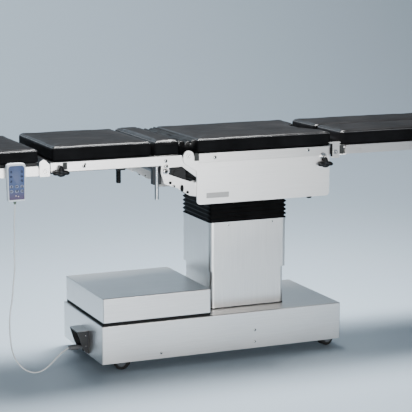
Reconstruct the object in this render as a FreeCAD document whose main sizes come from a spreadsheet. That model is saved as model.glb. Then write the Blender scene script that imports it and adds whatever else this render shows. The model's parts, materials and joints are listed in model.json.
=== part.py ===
import FreeCAD, Part
import math
import os
import re
import Sketcher

doc = FreeCAD.newDocument("OperatingTable")
sheet = doc.addObject("Spreadsheet::Sheet", "Sizes")
known = []
parts = []

# The frame: origin on the floor below the middle of the table, X towards the leg end, Z up.
# Heights that start with "at" are measured from the floor.
DRIVING = [
    ("floor_gap", 40, "floor to the underside of the base cover"),
    ("base_long", 1115, "base cover, length"),
    ("base_wide", 508, "base cover, width"),
    ("base_tall", 162, "base cover, height"),
    ("base_mid", -102.5, "middle of the base along X"),
    ("sheet_thick", 2, "stainless sheet of the covers"),
    ("bend", 5, "outside radius of a folded edge"),
    ("seal_tall", 13, "rubber strip between base and housing"),
    ("seal_back", 1.2, "how far the strip lies back from the housing's faces"),
    ("house_long", 485, "battery housing, length"),
    ("house_wide", 493, "battery housing, width"),
    ("house_tall", 103, "battery housing, height"),
    ("house_start", 9.5, "base end to housing end"),
    ("col_mid", 52, "middle of the column along X"),
    ("shaft_long", 347, "lower column shell, length"),
    ("shaft_wide", 294, "lower column shell, width"),
    ("shaft_tall", 254, "lower column shell, height"),
    ("sleeve_step", 9, "how far the upper shell stands outside the lower one"),
    ("sleeve_low", 166, "base top to the upper shell's lower edge"),
    ("sleeve_tall", 212, "upper shell, height"),
    ("column_round", 15, "outside corner radius of the lower shell"),
    ("lift_wall", 6, "wall of the telescopic lift tubes"),
    ("lift_fit", 1.2, "gap all round between the lift tubes"),
    ("mast_long", 200, "mast, length of its section"),
    ("mast_wide", 160, "mast, width of its section"),
    ("tilt_up", 775, "underside of the base to the tilt axes"),
    ("pleats", 12, "folds of the bellows"),
    ("pleat_deep", 11, "depth of one fold"),
    ("pivot_r", 8, "hinge pin radius"),
    ("pivot_fit", 0.08, "gap round a hinge pin"),
    ("deck_up", 862, "underside of the base to the underside of the pads"),
    ("pad_tall", 62, "upholstered pads, thickness"),
    ("pad_wide", 500, "upholstered pads, width"),
    ("pad_gap", 0.3, "gap between a pad and its plate"),
    ("side_half", 254, "middle to the outer face of the side bars"),
    ("bar_tall", 38, "side bars, height"),
    ("bar_thick", 12, "side bars, thickness"),
    ("tube_wide", 30, "frame tubes, width"),
    ("tube_tall", 40, "frame tubes, height"),
    ("deck_thick", 4, "plate under each pad"),
    ("seat_mid", 79.75, "middle of the side panels along X"),
    ("panel_long", 624, "side panels, length"),
    ("panel_tall", 177, "side panels, height"),
    ("panel_thick", 6, "side panels, thickness"),
    ("panel_round", 16, "corner radius of the side panels"),
    ("ear_r", 23, "radius of the hinge ears"),
    ("back_x", -270, "back hinge, X"),
    ("back_up", 854.5, "back hinge, above the underside of the base"),
    ("leg_x", 415, "leg hinge, X"),
    ("leg_up", 837, "leg hinge, above the underside of the base"),
    ("head_x", -891, "head hinge, X"),
    ("head_up", 828, "head hinge, above the underside of the base"),
    ("web_half", 39, "half the length of the folding web over the back hinge"),
    ("bridge_long", 111, "narrow lifting pad, length"),
    ("bridge_gap", 9, "gap between the narrow pad and the back pad"),
    ("back_pad_long", 434, "back pad, length"),
    ("leg_pad_start", 31.5, "leg hinge to the leg pad"),
    ("leg_pad_long", 690, "leg pads, length"),
    ("head_pad_start", 20, "head hinge to the head pad"),
    ("head_pad_long", 225, "head pad, length"),
    ("head_pad_tall", 55, "head pad, thickness"),
    ("head_drop", 1, "how much lower the head pad's underside lies"),
    ("notch_deep", 50, "cut-out in the leg end of the seat pad, depth"),
    ("notch_wide", 250, "cut-out in the leg end of the seat pad, width"),
    ("plate_thick", 7.5, "outer hinge plates of the head and leg sections"),
    ("plate_gap", 0.5, "gap between a hinge plate and the bars behind it"),
    ("swing_x", 41, "leg hinge to the upright pin that a leg swings out on"),
    ("leg_start", 57.5, "leg hinge to the start of a leg section's frame"),
    ("rod_r", 9, "lifting rods of the narrow pad, radius"),
    ("rod_fit", 0.1, "gap round a lifting rod"),
    ("guide_tall", 78, "guide blocks of the lifting rods, height below the frame"),
    ("rod_back", 23, "outer face of the side bars to the rod's middle"),
    ("wheel_r", 34, "castor wheel radius"),
    ("wheel_wide", 13, "castor wheel width"),
    ("wheel_apart", 6, "castor middle to the wheel's inner face"),
    ("trail", 20, "castor pivot to axle"),
    ("castor_up", 96, "floor to the castor's mounting face"),
    ("castor_in_left", 88, "base cover's left end to the castor pivots there"),
    ("castor_clear", 4.5, "castor wheels' swing to the inside of the base cover"),
    ("axle_r", 4, "castor axle radius"),
    ("hood_wide", 106, "cable hood, width"),
    ("hood_y", -31, "cable hood, middle along Y"),
    ("hood_out", 51, "cable hood, depth at its top"),
    ("plug_y", -32, "plug, position along Y"),
    ("hood_top", 106, "cable hood, top above the underside of the base"),
    ("plug_up", 26, "plug above the underside of the base"),
    ("plug_r", 9, "plug radius"),
    ("knob_r", 38, "wing knob, hub to wing tip"),
    ("knob_out", 26, "wing knob, depth"),
    ("hand_x", -1020, "handset, middle along X"),
    ("hand_low", 718, "handset's lower end above the underside of the base"),
    ("hand_long", 154, "handset, length"),
    ("hand_wide", 78, "handset, width"),
    ("hand_thick", 26, "handset, thickness"),
    ("hook_thick", 3, "handset hook, plate thickness"),
    ("cord_r", 3, "handset cord, radius"),
    ("boot_tall", 12, "strain relief at the handset, height"),
]
DERIVED = [
    ("at_base_top", "floor_gap + base_tall"),
    ("at_seal_top", "at_base_top + seal_tall"),
    ("base_left", "base_mid - base_long / 2"),
    ("castor_left", "base_left + castor_in_left"),
    ("castor_in", "sheet_thick + castor_clear + trail + wheel_r"),
    ("castor_right", "base_left + base_long - castor_in"),
    ("castor_half_y", "base_wide / 2 - castor_in"),
    ("house_left", "base_left + house_start"),
    ("house_mid", "house_left + house_long / 2"),
    ("at_sleeve", "at_base_top + sleeve_low"),
    ("at_flange", "at_sleeve + sleeve_tall"),
    ("sleeve_long", "shaft_long + 2 * sleeve_step"),
    ("sleeve_wide", "shaft_wide + 2 * sleeve_step"),
    ("mid_long", "mast_long + 2 * (lift_wall + lift_fit)"),
    ("mid_wide", "mast_wide + 2 * (lift_wall + lift_fit)"),
    ("outer_long", "mid_long + 2 * (lift_wall + lift_fit)"),
    ("outer_wide", "mid_wide + 2 * (lift_wall + lift_fit)"),
    ("at_tilt", "floor_gap + tilt_up"),
    ("at_deck", "floor_gap + deck_up"),
    ("at_pad", "at_deck + pad_gap"),
    ("at_tube", "at_deck - deck_thick - tube_tall"),
    ("tube_out", "side_half - bar_thick"),
    ("panel_in", "side_half - panel_thick"),
    ("arm_out", "panel_in - 1"),
    ("arm_thick", "arm_out - tube_out"),
    ("seat_out", "tube_out - 1"),
    ("panel_left", "seat_mid - panel_long / 2"),
    ("panel_right", "seat_mid + panel_long / 2"),
    ("at_back", "floor_gap + back_up"),
    ("at_leg", "floor_gap + leg_up"),
    ("at_head", "floor_gap + head_up"),
    ("bridge_right", "back_x - web_half + 2"),
    ("bridge_left", "bridge_right - bridge_long"),
    ("back_right", "bridge_left - bridge_gap"),
    ("back_left", "back_right - back_pad_long"),
    ("seat_left", "back_x + web_half + 0.5"),
    ("seat_right", "leg_x - 8.2"),
    ("head_right", "head_x - head_pad_start"),
    ("head_left", "head_right - head_pad_long"),
    ("leg_left", "leg_x + leg_pad_start"),
    ("leg_right", "leg_left + leg_pad_long"),
    ("plate_out", "side_half + plate_gap + plate_thick"),
    ("rod_x", "bridge_left + 13"),
    ("rod_y", "side_half - rod_back"),
    ("face_y", "side_half + hook_thick + 0.3"),
]


def add_size(row, name, content, note):
    """Write one named size into the sheet."""
    sheet.set("A%d" % row, name)
    sheet.set("B%d" % row, content)
    sheet.set("C%d" % row, note)
    sheet.setAlias("B%d" % row, name)
    known.append(name)


for number, (name, amount, note) in enumerate(DRIVING):
    add_size(number + 1, name, str(amount), note)
for number, (name, formula) in enumerate(DERIVED):
    add_size(len(DRIVING) + number + 1, name, "=" + formula, "worked out")
doc.recompute()


def bind(text):
    """The same expression with each named size taken from the sheet."""
    swap = lambda found: "Sizes." + found.group(0) if found.group(0) in known else found.group(0)
    return re.sub(r"[a-z_]+[a-z_0-9]*", swap, str(text))


def amount_of(text):
    """The number that an expression gives now, in millimetres or degrees."""
    return float(sheet.evalExpression(bind(text)))


def drive(thing, setting, text):
    """Tie one property of an object to an expression."""
    thing.setExpression(setting, bind(text))


def place(thing, x="0", y="0", z="0"):
    """Tie an object's position to three expressions."""
    for letter, text in zip("xyz", (x, y, z)):
        drive(thing, "Placement.Base." + letter, text)
    return thing


def keep(thing, label):
    """Name an object as one sub-part that is written out."""
    thing.Label = label
    parts.append(thing)
    return thing


def new_body(label, x="0", y="0", z="0"):
    """A PartDesign body for one sub-part, placed in the row frame."""
    return keep(loose_body(label, x, y, z), label)


def loose_body(name, x="0", y="0", z="0"):
    """A PartDesign body that another object builds on."""
    return place(doc.addObject("PartDesign::Body", name), x, y, z)


def origin_item(body, role):
    """One of a body's own origin planes or axes."""
    return next(item for item in body.Origin.OriginFeatures if item.Role == role)


def new_sketch(body, plane, lift="0"):
    """An empty sketch on an origin plane, moved along its normal by lift."""
    sketch = body.newObject("Sketcher::SketchObject", body.Name + "_sketch")
    sketch.AttachmentSupport = [(origin_item(body, plane + "_Plane"), "")]
    sketch.MapMode = "FlatFace"
    if lift != "0":
        drive(sketch, "AttachmentOffset.Base.z", lift)
    return sketch


def fix_point(sketch, index, x, y):
    """Hold one construction point at the place two expressions give."""
    for kind, text in (("DistanceX", x), ("DistanceY", y)):
        number = sketch.addConstraint(Sketcher.Constraint(kind, -1, 1, index, 1, amount_of(text)))
        drive(sketch, "Constraints[%d]" % number, text)


def draw(sketch, points):
    """Closed outline through points (x, y) or (x, y, corner radius), all of them expressions."""
    spots = [FreeCAD.Vector(amount_of(p[0]), amount_of(p[1]), 0) for p in points]
    count = len(points)
    marks = []
    for p, spot in zip(points, spots):
        mark = sketch.addGeometry(Part.Point(spot), True)
        fix_point(sketch, mark, p[0], p[1])
        marks.append(mark)
    ways = [(spots[(i + 1) % count] - spots[i]).normalize() for i in range(count)]
    trims = []
    for i, p in enumerate(points):
        bend_angle = ways[i - 1].getAngle(ways[i])
        trims.append(amount_of(p[2]) * math.tan(bend_angle / 2) if len(p) > 2 else 0.0)
    lines = []
    for i in range(count):
        start = spots[i] + ways[i] * trims[i]
        end = spots[(i + 1) % count] - ways[i] * trims[(i + 1) % count]
        lines.append(sketch.addGeometry(Part.LineSegment(start, end), False))
    for i, p in enumerate(points):
        before, after = lines[i - 1], lines[i]
        if len(p) > 2:
            round_corner(sketch, spots[i], ways[i - 1], ways[i], trims[i], before, after, p[2])
            sketch.addConstraint(Sketcher.Constraint("PointOnObject", marks[i], 1, before))
            sketch.addConstraint(Sketcher.Constraint("PointOnObject", marks[i], 1, after))
        else:
            sketch.addConstraint(Sketcher.Constraint("Coincident", before, 2, marks[i], 1))
            sketch.addConstraint(Sketcher.Constraint("Coincident", after, 1, marks[i], 1))
    return sketch


def round_corner(sketch, spot, way_in, way_out, trim, before, after, radius):
    """An arc that is tangent to the two lines of a corner."""
    start = spot - way_in * trim
    end = spot + way_out * trim
    inward = (way_out - way_in).normalize()
    middle = spot + inward * math.hypot(trim, amount_of(radius))
    near = middle - inward * amount_of(radius)
    arc = sketch.addGeometry(Part.Arc(start, near, end), False)
    turns_left = way_in.cross(way_out).z > 0
    first, last = (1, 2) if turns_left else (2, 1)
    sketch.addConstraint(Sketcher.Constraint("Tangent", before, 2, arc, first))
    sketch.addConstraint(Sketcher.Constraint("Tangent", after, 1, arc, last))
    number = sketch.addConstraint(Sketcher.Constraint("Radius", arc, amount_of(radius)))
    drive(sketch, "Constraints[%d]" % number, radius)


def draw_circle(sketch, x, y, radius):
    """A circle whose middle and radius are expressions."""
    centre = FreeCAD.Vector(amount_of(x), amount_of(y), 0)
    ring = sketch.addGeometry(Part.Circle(centre, FreeCAD.Vector(0, 0, 1), amount_of(radius)), False)
    for kind, text in (("DistanceX", x), ("DistanceY", y)):
        number = sketch.addConstraint(Sketcher.Constraint(kind, -1, 1, ring, 3, amount_of(text)))
        drive(sketch, "Constraints[%d]" % number, text)
    number = sketch.addConstraint(Sketcher.Constraint("Radius", ring, amount_of(radius)))
    drive(sketch, "Constraints[%d]" % number, radius)
    return sketch


def rectangle(wide, tall, radius=None, x="0", y="0"):
    """The corner points of a centred rectangle, for draw."""
    right, top = "%s + (%s) / 2" % (x, wide), "%s + (%s) / 2" % (y, tall)
    left, low = "%s - (%s) / 2" % (x, wide), "%s - (%s) / 2" % (y, tall)
    corners = [(left, low), (right, low), (right, top), (left, top)]
    return [c + (radius,) for c in corners] if radius else corners


def span(left, right, low, top, radius=None):
    """The corner points of a rectangle given by its sides, for draw."""
    corners = [(left, low), (right, low), (right, top), (left, top)]
    return [c + (radius,) for c in corners] if radius else corners


def extrude(body, sketch, length, both=False, back=False):
    """Pad a sketch."""
    feature = body.newObject("PartDesign::Pad", body.Name + "_pad")
    feature.Profile = sketch
    drive(feature, "Length", length)
    feature.SideType = "Symmetric" if both else "One side"
    feature.Reversed = back
    body.Tip = feature
    return feature


def pocket(body, sketch, length, both=False, back=False):
    """Cut a sketch out; it cuts against the sketch's normal unless back is true."""
    feature = body.newObject("PartDesign::Pocket", body.Name + "_pocket")
    feature.Profile = sketch
    drive(feature, "Length", length)
    feature.SideType = "Symmetric" if both else "One side"
    feature.Reversed = back
    body.Tip = feature
    return feature


def turned(body, sketch, axis, kind="Revolution"):
    """Turn a sketch once round one of the body's own axes."""
    feature = body.newObject("PartDesign::" + kind, body.Name + "_turned")
    feature.Profile = sketch
    feature.ReferenceAxis = (origin_item(body, axis + "_Axis"), [""])
    feature.Angle = 360
    body.Tip = feature
    return feature


def soften(body, radius, wanted, kind="Fillet"):
    """Fillet or chamfer the edges that a test picks."""
    doc.recompute()
    base = body.Tip
    picked = ["Edge%d" % (i + 1) for i, edge in enumerate(base.Shape.Edges) if wanted(edge)]
    feature = body.newObject("PartDesign::" + kind, body.Name + "_soft")
    feature.Base = (base, picked)
    drive(feature, "Radius" if kind == "Fillet" else "Size", radius)
    body.Tip = feature
    return feature


def lies_at(edge, letter, text):
    """True for an edge whose every point has this coordinate."""
    low, high = getattr(edge.BoundBox, letter.upper() + "Min"), getattr(edge.BoundBox, letter.upper() + "Max")
    return abs(low - amount_of(text)) < 0.01 and abs(high - amount_of(text)) < 0.01


def pair(label, body):
    """A sub-part made of a body and its mirror image across the table's middle plane."""
    twin = doc.addObject("Part::Mirroring", label + "_twin")
    twin.Source = body
    twin.Normal = (0, 1, 0)
    both = doc.addObject("Part::Compound", label)
    both.Links = [body, twin]
    return keep(both, label)


def mirrored(label, body):
    """The mirror image of a body, as a sub-part of its own."""
    twin = doc.addObject("Part::Mirroring", label)
    twin.Source = body
    twin.Normal = (0, 1, 0)
    return keep(twin, label)


def block(name, x, y, z):
    """A box between three pairs of expressions."""
    box = doc.addObject("Part::Box", name)
    for setting, (low, high) in zip(("Length", "Width", "Height"), (x, y, z)):
        drive(box, setting, "(%s) - (%s)" % (high, low))
    return place(box, x[0], y[0], z[0])


def round_bar(name, x, y, z, radius, length, way="z"):
    """A cylinder that starts at a point and runs along X, Y or Z."""
    bar = doc.addObject("Part::Cylinder", name)
    drive(bar, "Radius", radius)
    drive(bar, "Height", length)
    turns = {"z": (0, 0, 1, 0), "y": (1, 0, 0, -90), "x": (0, 1, 0, 90)}[way]
    bar.Placement.Rotation = FreeCAD.Rotation(FreeCAD.Vector(*turns[:3]), turns[3])
    return place(bar, x, y, z)


def joined(label, *shapes):
    """Several shapes fused into one sub-part."""
    whole = doc.addObject("Part::MultiFuse", label)
    whole.Shapes = list(shapes)
    whole.Refine = True
    return whole


def cut_from(label, base, *tools):
    """A shape with one or more others taken out of it."""
    tool = tools[0] if len(tools) == 1 else joined(label + "_tools", *tools)
    whole = doc.addObject("Part::Cut", label)
    whole.Base = base
    whole.Tool = tool
    return whole


def bundle(label, *shapes):
    """Separate like pieces that share one node."""
    whole = doc.addObject("Part::Compound", label)
    whole.Links = list(shapes)
    return keep(whole, label)


# Base

def make_box_cover(label, long, wide, tall, x, z):
    """A folded sheet cover: a box that is open below, with rounded upright and top edges."""
    body = new_body(label, x, "0", z)
    extrude(body, draw(new_sketch(body, "XY"), rectangle(long, wide, "bend")), tall)
    soften(body, "bend - 1", lambda e: lies_at(e, "z", tall))
    inner = rectangle(long + " - 2 * sheet_thick", wide + " - 2 * sheet_thick", "bend - sheet_thick")
    pocket(body, draw(new_sketch(body, "XY"), inner), tall + " - sheet_thick", back=True)
    return body


def make_chassis():
    """Welded frame under the base cover with a foot above each castor."""
    body = new_body("base_chassis", "base_mid", "0", "floor_gap + base_tall - sheet_thick - 50")
    plan = new_sketch(body, "XY")
    draw(plan, rectangle("base_long - 24", "base_wide - 24"))
    for x in ("-base_long / 4 + 22", "base_long / 4 - 22"):
        draw(plan, rectangle("base_long / 2 - 120", "base_wide - 164", "12", x))
    extrude(body, plan, "50")
    feet = new_sketch(body, "XY")
    for x in ("castor_left - base_mid", "castor_right - base_mid"):
        for y in ("-castor_half_y", "castor_half_y"):
            draw(feet, rectangle("60", "60", "8", x, y))
    extrude(body, feet, "floor_gap + base_tall - sheet_thick - 50 - castor_up", back=True)
    return body


def make_seal():
    """Rubber strip that closes the joint between base and housing."""
    body = new_body("base_seal", "house_mid", "0", "at_base_top")
    ring = new_sketch(body, "XY")
    draw(ring, rectangle("house_long - 2 * seal_back", "house_wide - 2 * seal_back", "bend"))
    draw(ring, rectangle("house_long - 2 * seal_back - 24", "house_wide - 2 * seal_back - 24", "3"))
    extrude(body, ring, "seal_tall")
    return body


def make_control_pack():
    """Two batteries and the control electronics inside the housing."""
    left, floor = "house_left + 40", "at_base_top"
    near = block("battery_near", (left, left + " + 150"), ("-170", "-20"), (floor, floor + " + 95"))
    far = block("battery_far", (left, left + " + 150"), ("20", "170"), (floor, floor + " + 95"))
    box = block("electronics", (left + " + 190", left + " + 390"), ("-150", "150"), (floor, floor + " + 80"))
    return bundle("control_pack", near, far, box)


def make_cable_hood():
    """Hood over the handset socket: a top plate and two tapering cheeks, open outwards and below."""
    body = new_body("cable_hood", "base_left", "hood_y", "floor_gap")
    side = new_sketch(body, "XZ")
    draw(side, [("0", "4"), ("0", "hood_top"), ("-hood_out", "hood_top - 2", "3"), ("-30", "38"),
                ("-17", "15")])
    extrude(body, side, "hood_wide", both=True)
    room = new_sketch(body, "XZ")
    draw(room, [("-3", "0"), ("-3", "hood_top - 4"), ("-hood_out - 5", "hood_top - 6"),
                ("-hood_out - 5", "0")])
    pocket(body, room, "hood_wide - 6", both=True)
    hole = new_sketch(body, "YZ")
    draw_circle(hole, "plug_y - hood_y", "plug_up", "plug_r + 0.3")
    pocket(body, hole, "12", both=True)
    return body


# Castors

def make_castor(tag, turn, x, y):
    """Fork with its hood, and a pair of wheels, turned about the upright pivot."""
    fork = new_body("castor_fork_" + tag, x, y, "0")
    drive(fork, "Placement.Rotation.Angle", turn)
    side = new_sketch(fork, "XZ")
    draw_circle(side, "trail", "wheel_r", "wheel_r - 6")
    extrude(fork, side, "2 * wheel_apart - 2", both=True)
    neck = new_sketch(fork, "XZ")
    draw(neck, [("-14", "castor_up - 20", "5"), ("trail - 16", "wheel_r - 4"),
                ("trail + 12", "wheel_r + 12", "6"),
                ("trail + 4", "castor_up - 20", "8")])
    extrude(fork, neck, "2 * wheel_apart - 2", both=True)
    head = new_sketch(fork, "XY", "castor_up - 0.3")
    draw_circle(head, "0", "0", "17")
    extrude(fork, head, "22", back=True)
    wheels = new_body("castor_wheels_" + tag, x, y, "0")
    drive(wheels, "Placement.Rotation.Angle", turn)
    hole = new_sketch(fork, "XZ")
    draw_circle(hole, "trail", "wheel_r", "axle_r + 0.3")
    pocket(fork, hole, "60", both=True)
    for side_name, start in (("near", "wheel_apart"), ("far", "-wheel_apart - wheel_wide")):
        disc = new_sketch(wheels, "XZ", start)
        draw_circle(disc, "trail", "wheel_r", "wheel_r")
        extrude(wheels, disc, "wheel_wide")
    axle = new_sketch(wheels, "XZ")
    draw_circle(axle, "trail", "wheel_r", "axle_r")
    extrude(wheels, axle, "2 * wheel_apart + 10", both=True)
    rims = lambda e: e.Curve.TypeId == "Part::GeomCircle" and e.Curve.Radius > amount_of("wheel_r - 1")
    soften(wheels, "3", rims, "Chamfer")


# Column

def make_shell(label, long, wide, tall, z, radius):
    """A rectangular sheet tube with rounded corners."""
    body = new_body(label, "col_mid", "0", z)
    ring = new_sketch(body, "XY")
    draw(ring, rectangle(long, wide, radius))
    draw(ring, rectangle(long + " - 2 * sheet_thick", wide + " - 2 * sheet_thick", radius + " - sheet_thick"))
    extrude(body, ring, tall)
    return body


def make_lift_tube():
    """Outer tube of the telescopic lift, on a foot plate, with its motor beside it."""
    body = new_body("lift_tube", "col_mid", "0", "at_base_top")
    foot = new_sketch(body, "XY")
    draw(foot, rectangle("outer_long + 60", "outer_wide + 40", "8"))
    extrude(body, foot, "8")
    ring = new_sketch(body, "XY", "8")
    draw(ring, rectangle("outer_long", "outer_wide", "6"))
    draw(ring, rectangle("outer_long - 2 * lift_wall", "outer_wide - 2 * lift_wall", "2"))
    extrude(body, ring, "232")
    motor = new_sketch(body, "XY", "8")
    draw_circle(motor, "-outer_long / 2 - 22", "0", "24")
    extrude(body, motor, "150")
    return body


def make_mid_tube():
    """Middle tube of the lift; its top plate carries the upper shell and the foot of the bellows."""
    body = new_body("mid_tube", "col_mid", "0", "at_flange")
    plate = new_sketch(body, "XY")
    draw(plate, rectangle("sleeve_long + 6", "sleeve_wide + 6", "column_round + 6"))
    draw(plate, rectangle("mast_long + 2 * lift_fit", "mast_wide + 2 * lift_fit", "2"))
    extrude(body, plate, "4")
    ring = new_sketch(body, "XY")
    draw(ring, rectangle("mid_long", "mid_wide", "4"))
    draw(ring, rectangle("mast_long + 2 * lift_fit", "mast_wide + 2 * lift_fit", "2"))
    extrude(body, ring, "sleeve_tall + 50", back=True)
    lip = new_sketch(body, "XY")
    long, wide = "sleeve_long - 2 * sheet_thick", "sleeve_wide - 2 * sheet_thick"
    draw(lip, rectangle(long + " - 0.6", wide + " - 0.6", "column_round"))
    draw(lip, rectangle(long + " - 12", wide + " - 12", "6"))
    extrude(body, lip, "14", back=True)
    return body


def make_mast():
    """Inner tube of the lift with a fork for the tilting cross on top."""
    body = new_body("mast", "col_mid", "0", "at_tilt")
    ring = new_sketch(body, "XY", "-65")
    draw(ring, rectangle("mast_long", "mast_wide", "2"))
    draw(ring, rectangle("mast_long - 2 * lift_wall", "mast_wide - 2 * lift_wall", "1"))
    extrude(body, ring, "338", back=True)
    top = new_sketch(body, "XY", "-65")
    draw(top, rectangle("mast_long", "mast_wide", "2"))
    extrude(body, top, "10", back=True)
    lugs = new_sketch(body, "XZ")
    draw(lugs, [("-30", "-66"), ("30", "-66"), ("22", "22", "21"), ("-22", "22", "21")])
    extrude(body, lugs, "140", both=True)
    room = new_sketch(body, "XZ")
    draw(room, span("-40", "40", "-65", "30"))
    pocket(body, room, "110", both=True)
    bore = new_sketch(body, "XZ")
    draw_circle(bore, "0", "0", "pivot_r + pivot_fit")
    pocket(body, bore, "200", both=True)
    return body


def ring_wire(long, wide, cut, z):
    """A rectangle with cut corners as a closed wire at height z."""
    quarter = [(long / 2, wide / 2 - cut), (long / 2 - cut, wide / 2)]
    half = quarter + [(-x, y) for x, y in reversed(quarter)]
    corners = half + [(-x, -y) for x, y in half]
    spots = [FreeCAD.Vector(x, y, z) for x, y in corners]
    return Part.makePolygon(spots + spots[:1])


def make_bellows():
    """Rubber bellows between the upper shell and the seat frame: folded rings, one wall thick."""
    count = int(amount_of("pleats"))
    deep = amount_of("pleat_deep")
    low = amount_of("at_flange + 4")
    tall = amount_of("at_tube - 0.5") - low
    long, wide = amount_of("sleeve_long + 4"), amount_of("sleeve_wide + 4")
    pitch = tall / count
    corner_cut = 8.0
    skins = []
    for inset in (0.0, 2.5):
        wires = []
        for step in range(2 * count + 1):
            back = inset + (deep if step % 2 else 0.0)
            height = low + step * pitch / 2
            wires.append(ring_wire(long - 2 * back, wide - 2 * back, corner_cut, height))
        skins.append(Part.makeLoft(wires, True, True))
    thing = doc.addObject("Part::Feature", "bellows")
    thing.Shape = skins[0].cut(skins[1])
    place(thing, "col_mid")
    return keep(thing, "bellows")


def make_tilt_cross():
    """Cross block with two pairs of trunnions: one pair along Y for pitch, one along X for roll."""
    middle = block("cross_block", ("col_mid - 34", "col_mid + 34"), ("-34", "34"),
                   ("at_tilt - 22", "at_tilt + 22"))
    pitch = round_bar("cross_pitch", "col_mid", "-76", "at_tilt", "pivot_r", "152", "y")
    roll = round_bar("cross_roll", "col_mid - 92", "0", "at_tilt", "pivot_r", "196", "x")
    return keep(joined("tilt_cross", middle, pitch, roll), "tilt_cross")


def make_drive(label, way):
    """Gear motor whose hollow shaft sits on one trunnion."""
    case_at = ("col_mid", "-142", "at_tilt") if way == "y" else ("col_mid + 94.3", "0", "at_tilt")
    bore_at = ("col_mid", "-78", "at_tilt") if way == "y" else case_at
    case = round_bar(label + "_case", *case_at, "26", "71.7", way)
    bore = round_bar(label + "_bore", *bore_at, "pivot_r + pivot_fit", "12", way)
    return keep(cut_from(label, case, bore), label)


# Seat section

def make_seat_frame():
    """Seat frame: two side tubes, cross tubes, pad plate, lugs for the roll axis and for the leg hinges."""
    body = new_body("seat_frame", "0", "0", "at_tube")
    plan = new_sketch(body, "XY")
    left, right = "panel_left + 8", "panel_right - 17"
    draw(plan, span(left, right, "-seat_out", "seat_out"))
    draw(plan, span(left + " + tube_wide", "col_mid - 122", "tube_wide - seat_out", "seat_out - tube_wide"))
    draw(plan, span("col_mid - 66", "col_mid + 66", "tube_wide - seat_out", "seat_out - tube_wide"))
    draw(plan, span("col_mid + 122", right + " - tube_wide", "tube_wide - seat_out", "seat_out - tube_wide"))
    extrude(body, plan, "tube_tall")
    deck = new_sketch(body, "XY", "tube_tall")
    draw(deck, [(left, "-seat_out"), (right, "-seat_out"), (right, "-notch_wide / 2"),
                (right + " - 42", "-notch_wide / 2 + 40", "30"),
                (right + " - 42", "notch_wide / 2 - 40", "30"), (right, "notch_wide / 2"),
                (right, "seat_out"), (left, "seat_out")])
    extrude(body, deck, "deck_thick")
    roll_lugs = new_sketch(body, "YZ", "col_mid")
    axis = "at_tilt - at_tube"
    draw(roll_lugs, [("-25", "1"), ("-22", axis + " - 22", "21"), ("22", axis + " - 22", "21"), ("25", "1")])
    extrude(body, roll_lugs, "188", both=True)
    between = new_sketch(body, "YZ", "col_mid")
    draw(between, span("-40", "40", axis + " - 30", "1.5"))
    pocket(body, between, "134", both=True)
    bore = new_sketch(body, "YZ", "col_mid")
    draw_circle(bore, "0", axis, "pivot_r + pivot_fit")
    pocket(body, bore, "200", both=True)
    for low in ("-seat_out", "seat_out - 12"):
        lug = new_sketch(body, "XZ", low)
        draw(lug, [(right + " - 30", "tube_tall - 26"), (right + " - 30", "tube_tall - 4"),
                   ("leg_x", "at_leg - at_tube + 14"), ("leg_x + 14", "at_leg - at_tube + 14", "13.5"),
                   ("leg_x + 14", "at_leg - at_tube - 14", "13.5"), ("leg_x", "at_leg - at_tube - 14")])
        extrude(body, lug, "12")
    holes = new_sketch(body, "XZ")
    draw_circle(holes, "leg_x", "at_leg - at_tube", "pivot_r")
    pocket(body, holes, "2 * seat_out + 4", both=True)
    for low in ("-panel_in", "seat_out"):
        strip = new_sketch(body, "XZ", low)
        draw(strip, span("panel_left + 130", "panel_right - 20", "-12", "4", "2"))
        extrude(body, strip, "panel_in - seat_out")
    return body


def make_seat_panels():
    """Side panels with the ears that carry the back hinge."""
    body = loose_body("seat_panel", "0", "-panel_in", "0")
    side = new_sketch(body, "XZ")
    top = "at_deck - bar_tall - 0.5"
    low = "at_deck - bar_tall - 0.5 - panel_tall"
    ear_left, ear_right, ear_top = "back_x - ear_r", "back_x + ear_r", "at_back + ear_r"
    draw(side, [("panel_left", low, "panel_round"), ("panel_right", low, "panel_round"), ("panel_right", top),
                ("panel_left + 8", top), ("panel_left + 8", "at_back - 22"), (ear_right, "at_back", "9"),
                (ear_right, ear_top, "ear_r - 0.4"), (ear_left, ear_top, "ear_r - 0.4"),
                (ear_left, "at_back - 26", "18"), ("panel_left", "at_back - 66", "14")])
    draw_circle(side, "back_x", "at_back", "pivot_r")
    extrude(body, side, "panel_thick")
    return pair("seat_panels", body)


def make_seat_bars():
    """Side bars of the seat section."""
    body = loose_body("seat_bar", "0", "-seat_out", "at_deck - bar_tall")
    side = new_sketch(body, "XZ")
    draw(side, span("panel_left + 8.4", "panel_right", "0", "bar_tall", "2"))
    extrude(body, side, "side_half - seat_out")
    return pair("seat_bars", body)


def make_end_blocks(label, left, right, low, top, depth):
    """Black plastic end blocks that cap the front and back side bars."""
    body = loose_body(label + "_one", "0", "-side_half", "0")
    side = new_sketch(body, "XZ")
    draw(side, span(left, right, low, top, "2"))
    extrude(body, side, depth)
    return pair(label, body)


def make_hinge_pin(name, x, z, outer, inner):
    """A pin along Y with a low head outside and a socket in the head."""
    body = loose_body(name, x, "0", z)
    shank = new_sketch(body, "XZ", inner)
    draw_circle(shank, "0", "0", "pivot_r")
    extrude(body, shank, "(%s) - (%s)" % (outer, inner))
    head = new_sketch(body, "XZ", outer)
    draw_circle(head, "0", "0", "pivot_r + 2")
    extrude(body, head, "3")
    socket = new_sketch(body, "XZ", "(%s) + 3" % outer)
    draw_circle(socket, "0", "0", "4")
    pocket(body, socket, "4")
    return body


def pin_group(label, *bodies):
    """Pins and their mirror images as one node."""
    twins = []
    for body in bodies:
        twin = doc.addObject("Part::Mirroring", body.Name + "_twin")
        twin.Source = body
        twin.Normal = (0, 1, 0)
        twins.append(twin)
    return bundle(label, *bodies, *twins)


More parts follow.
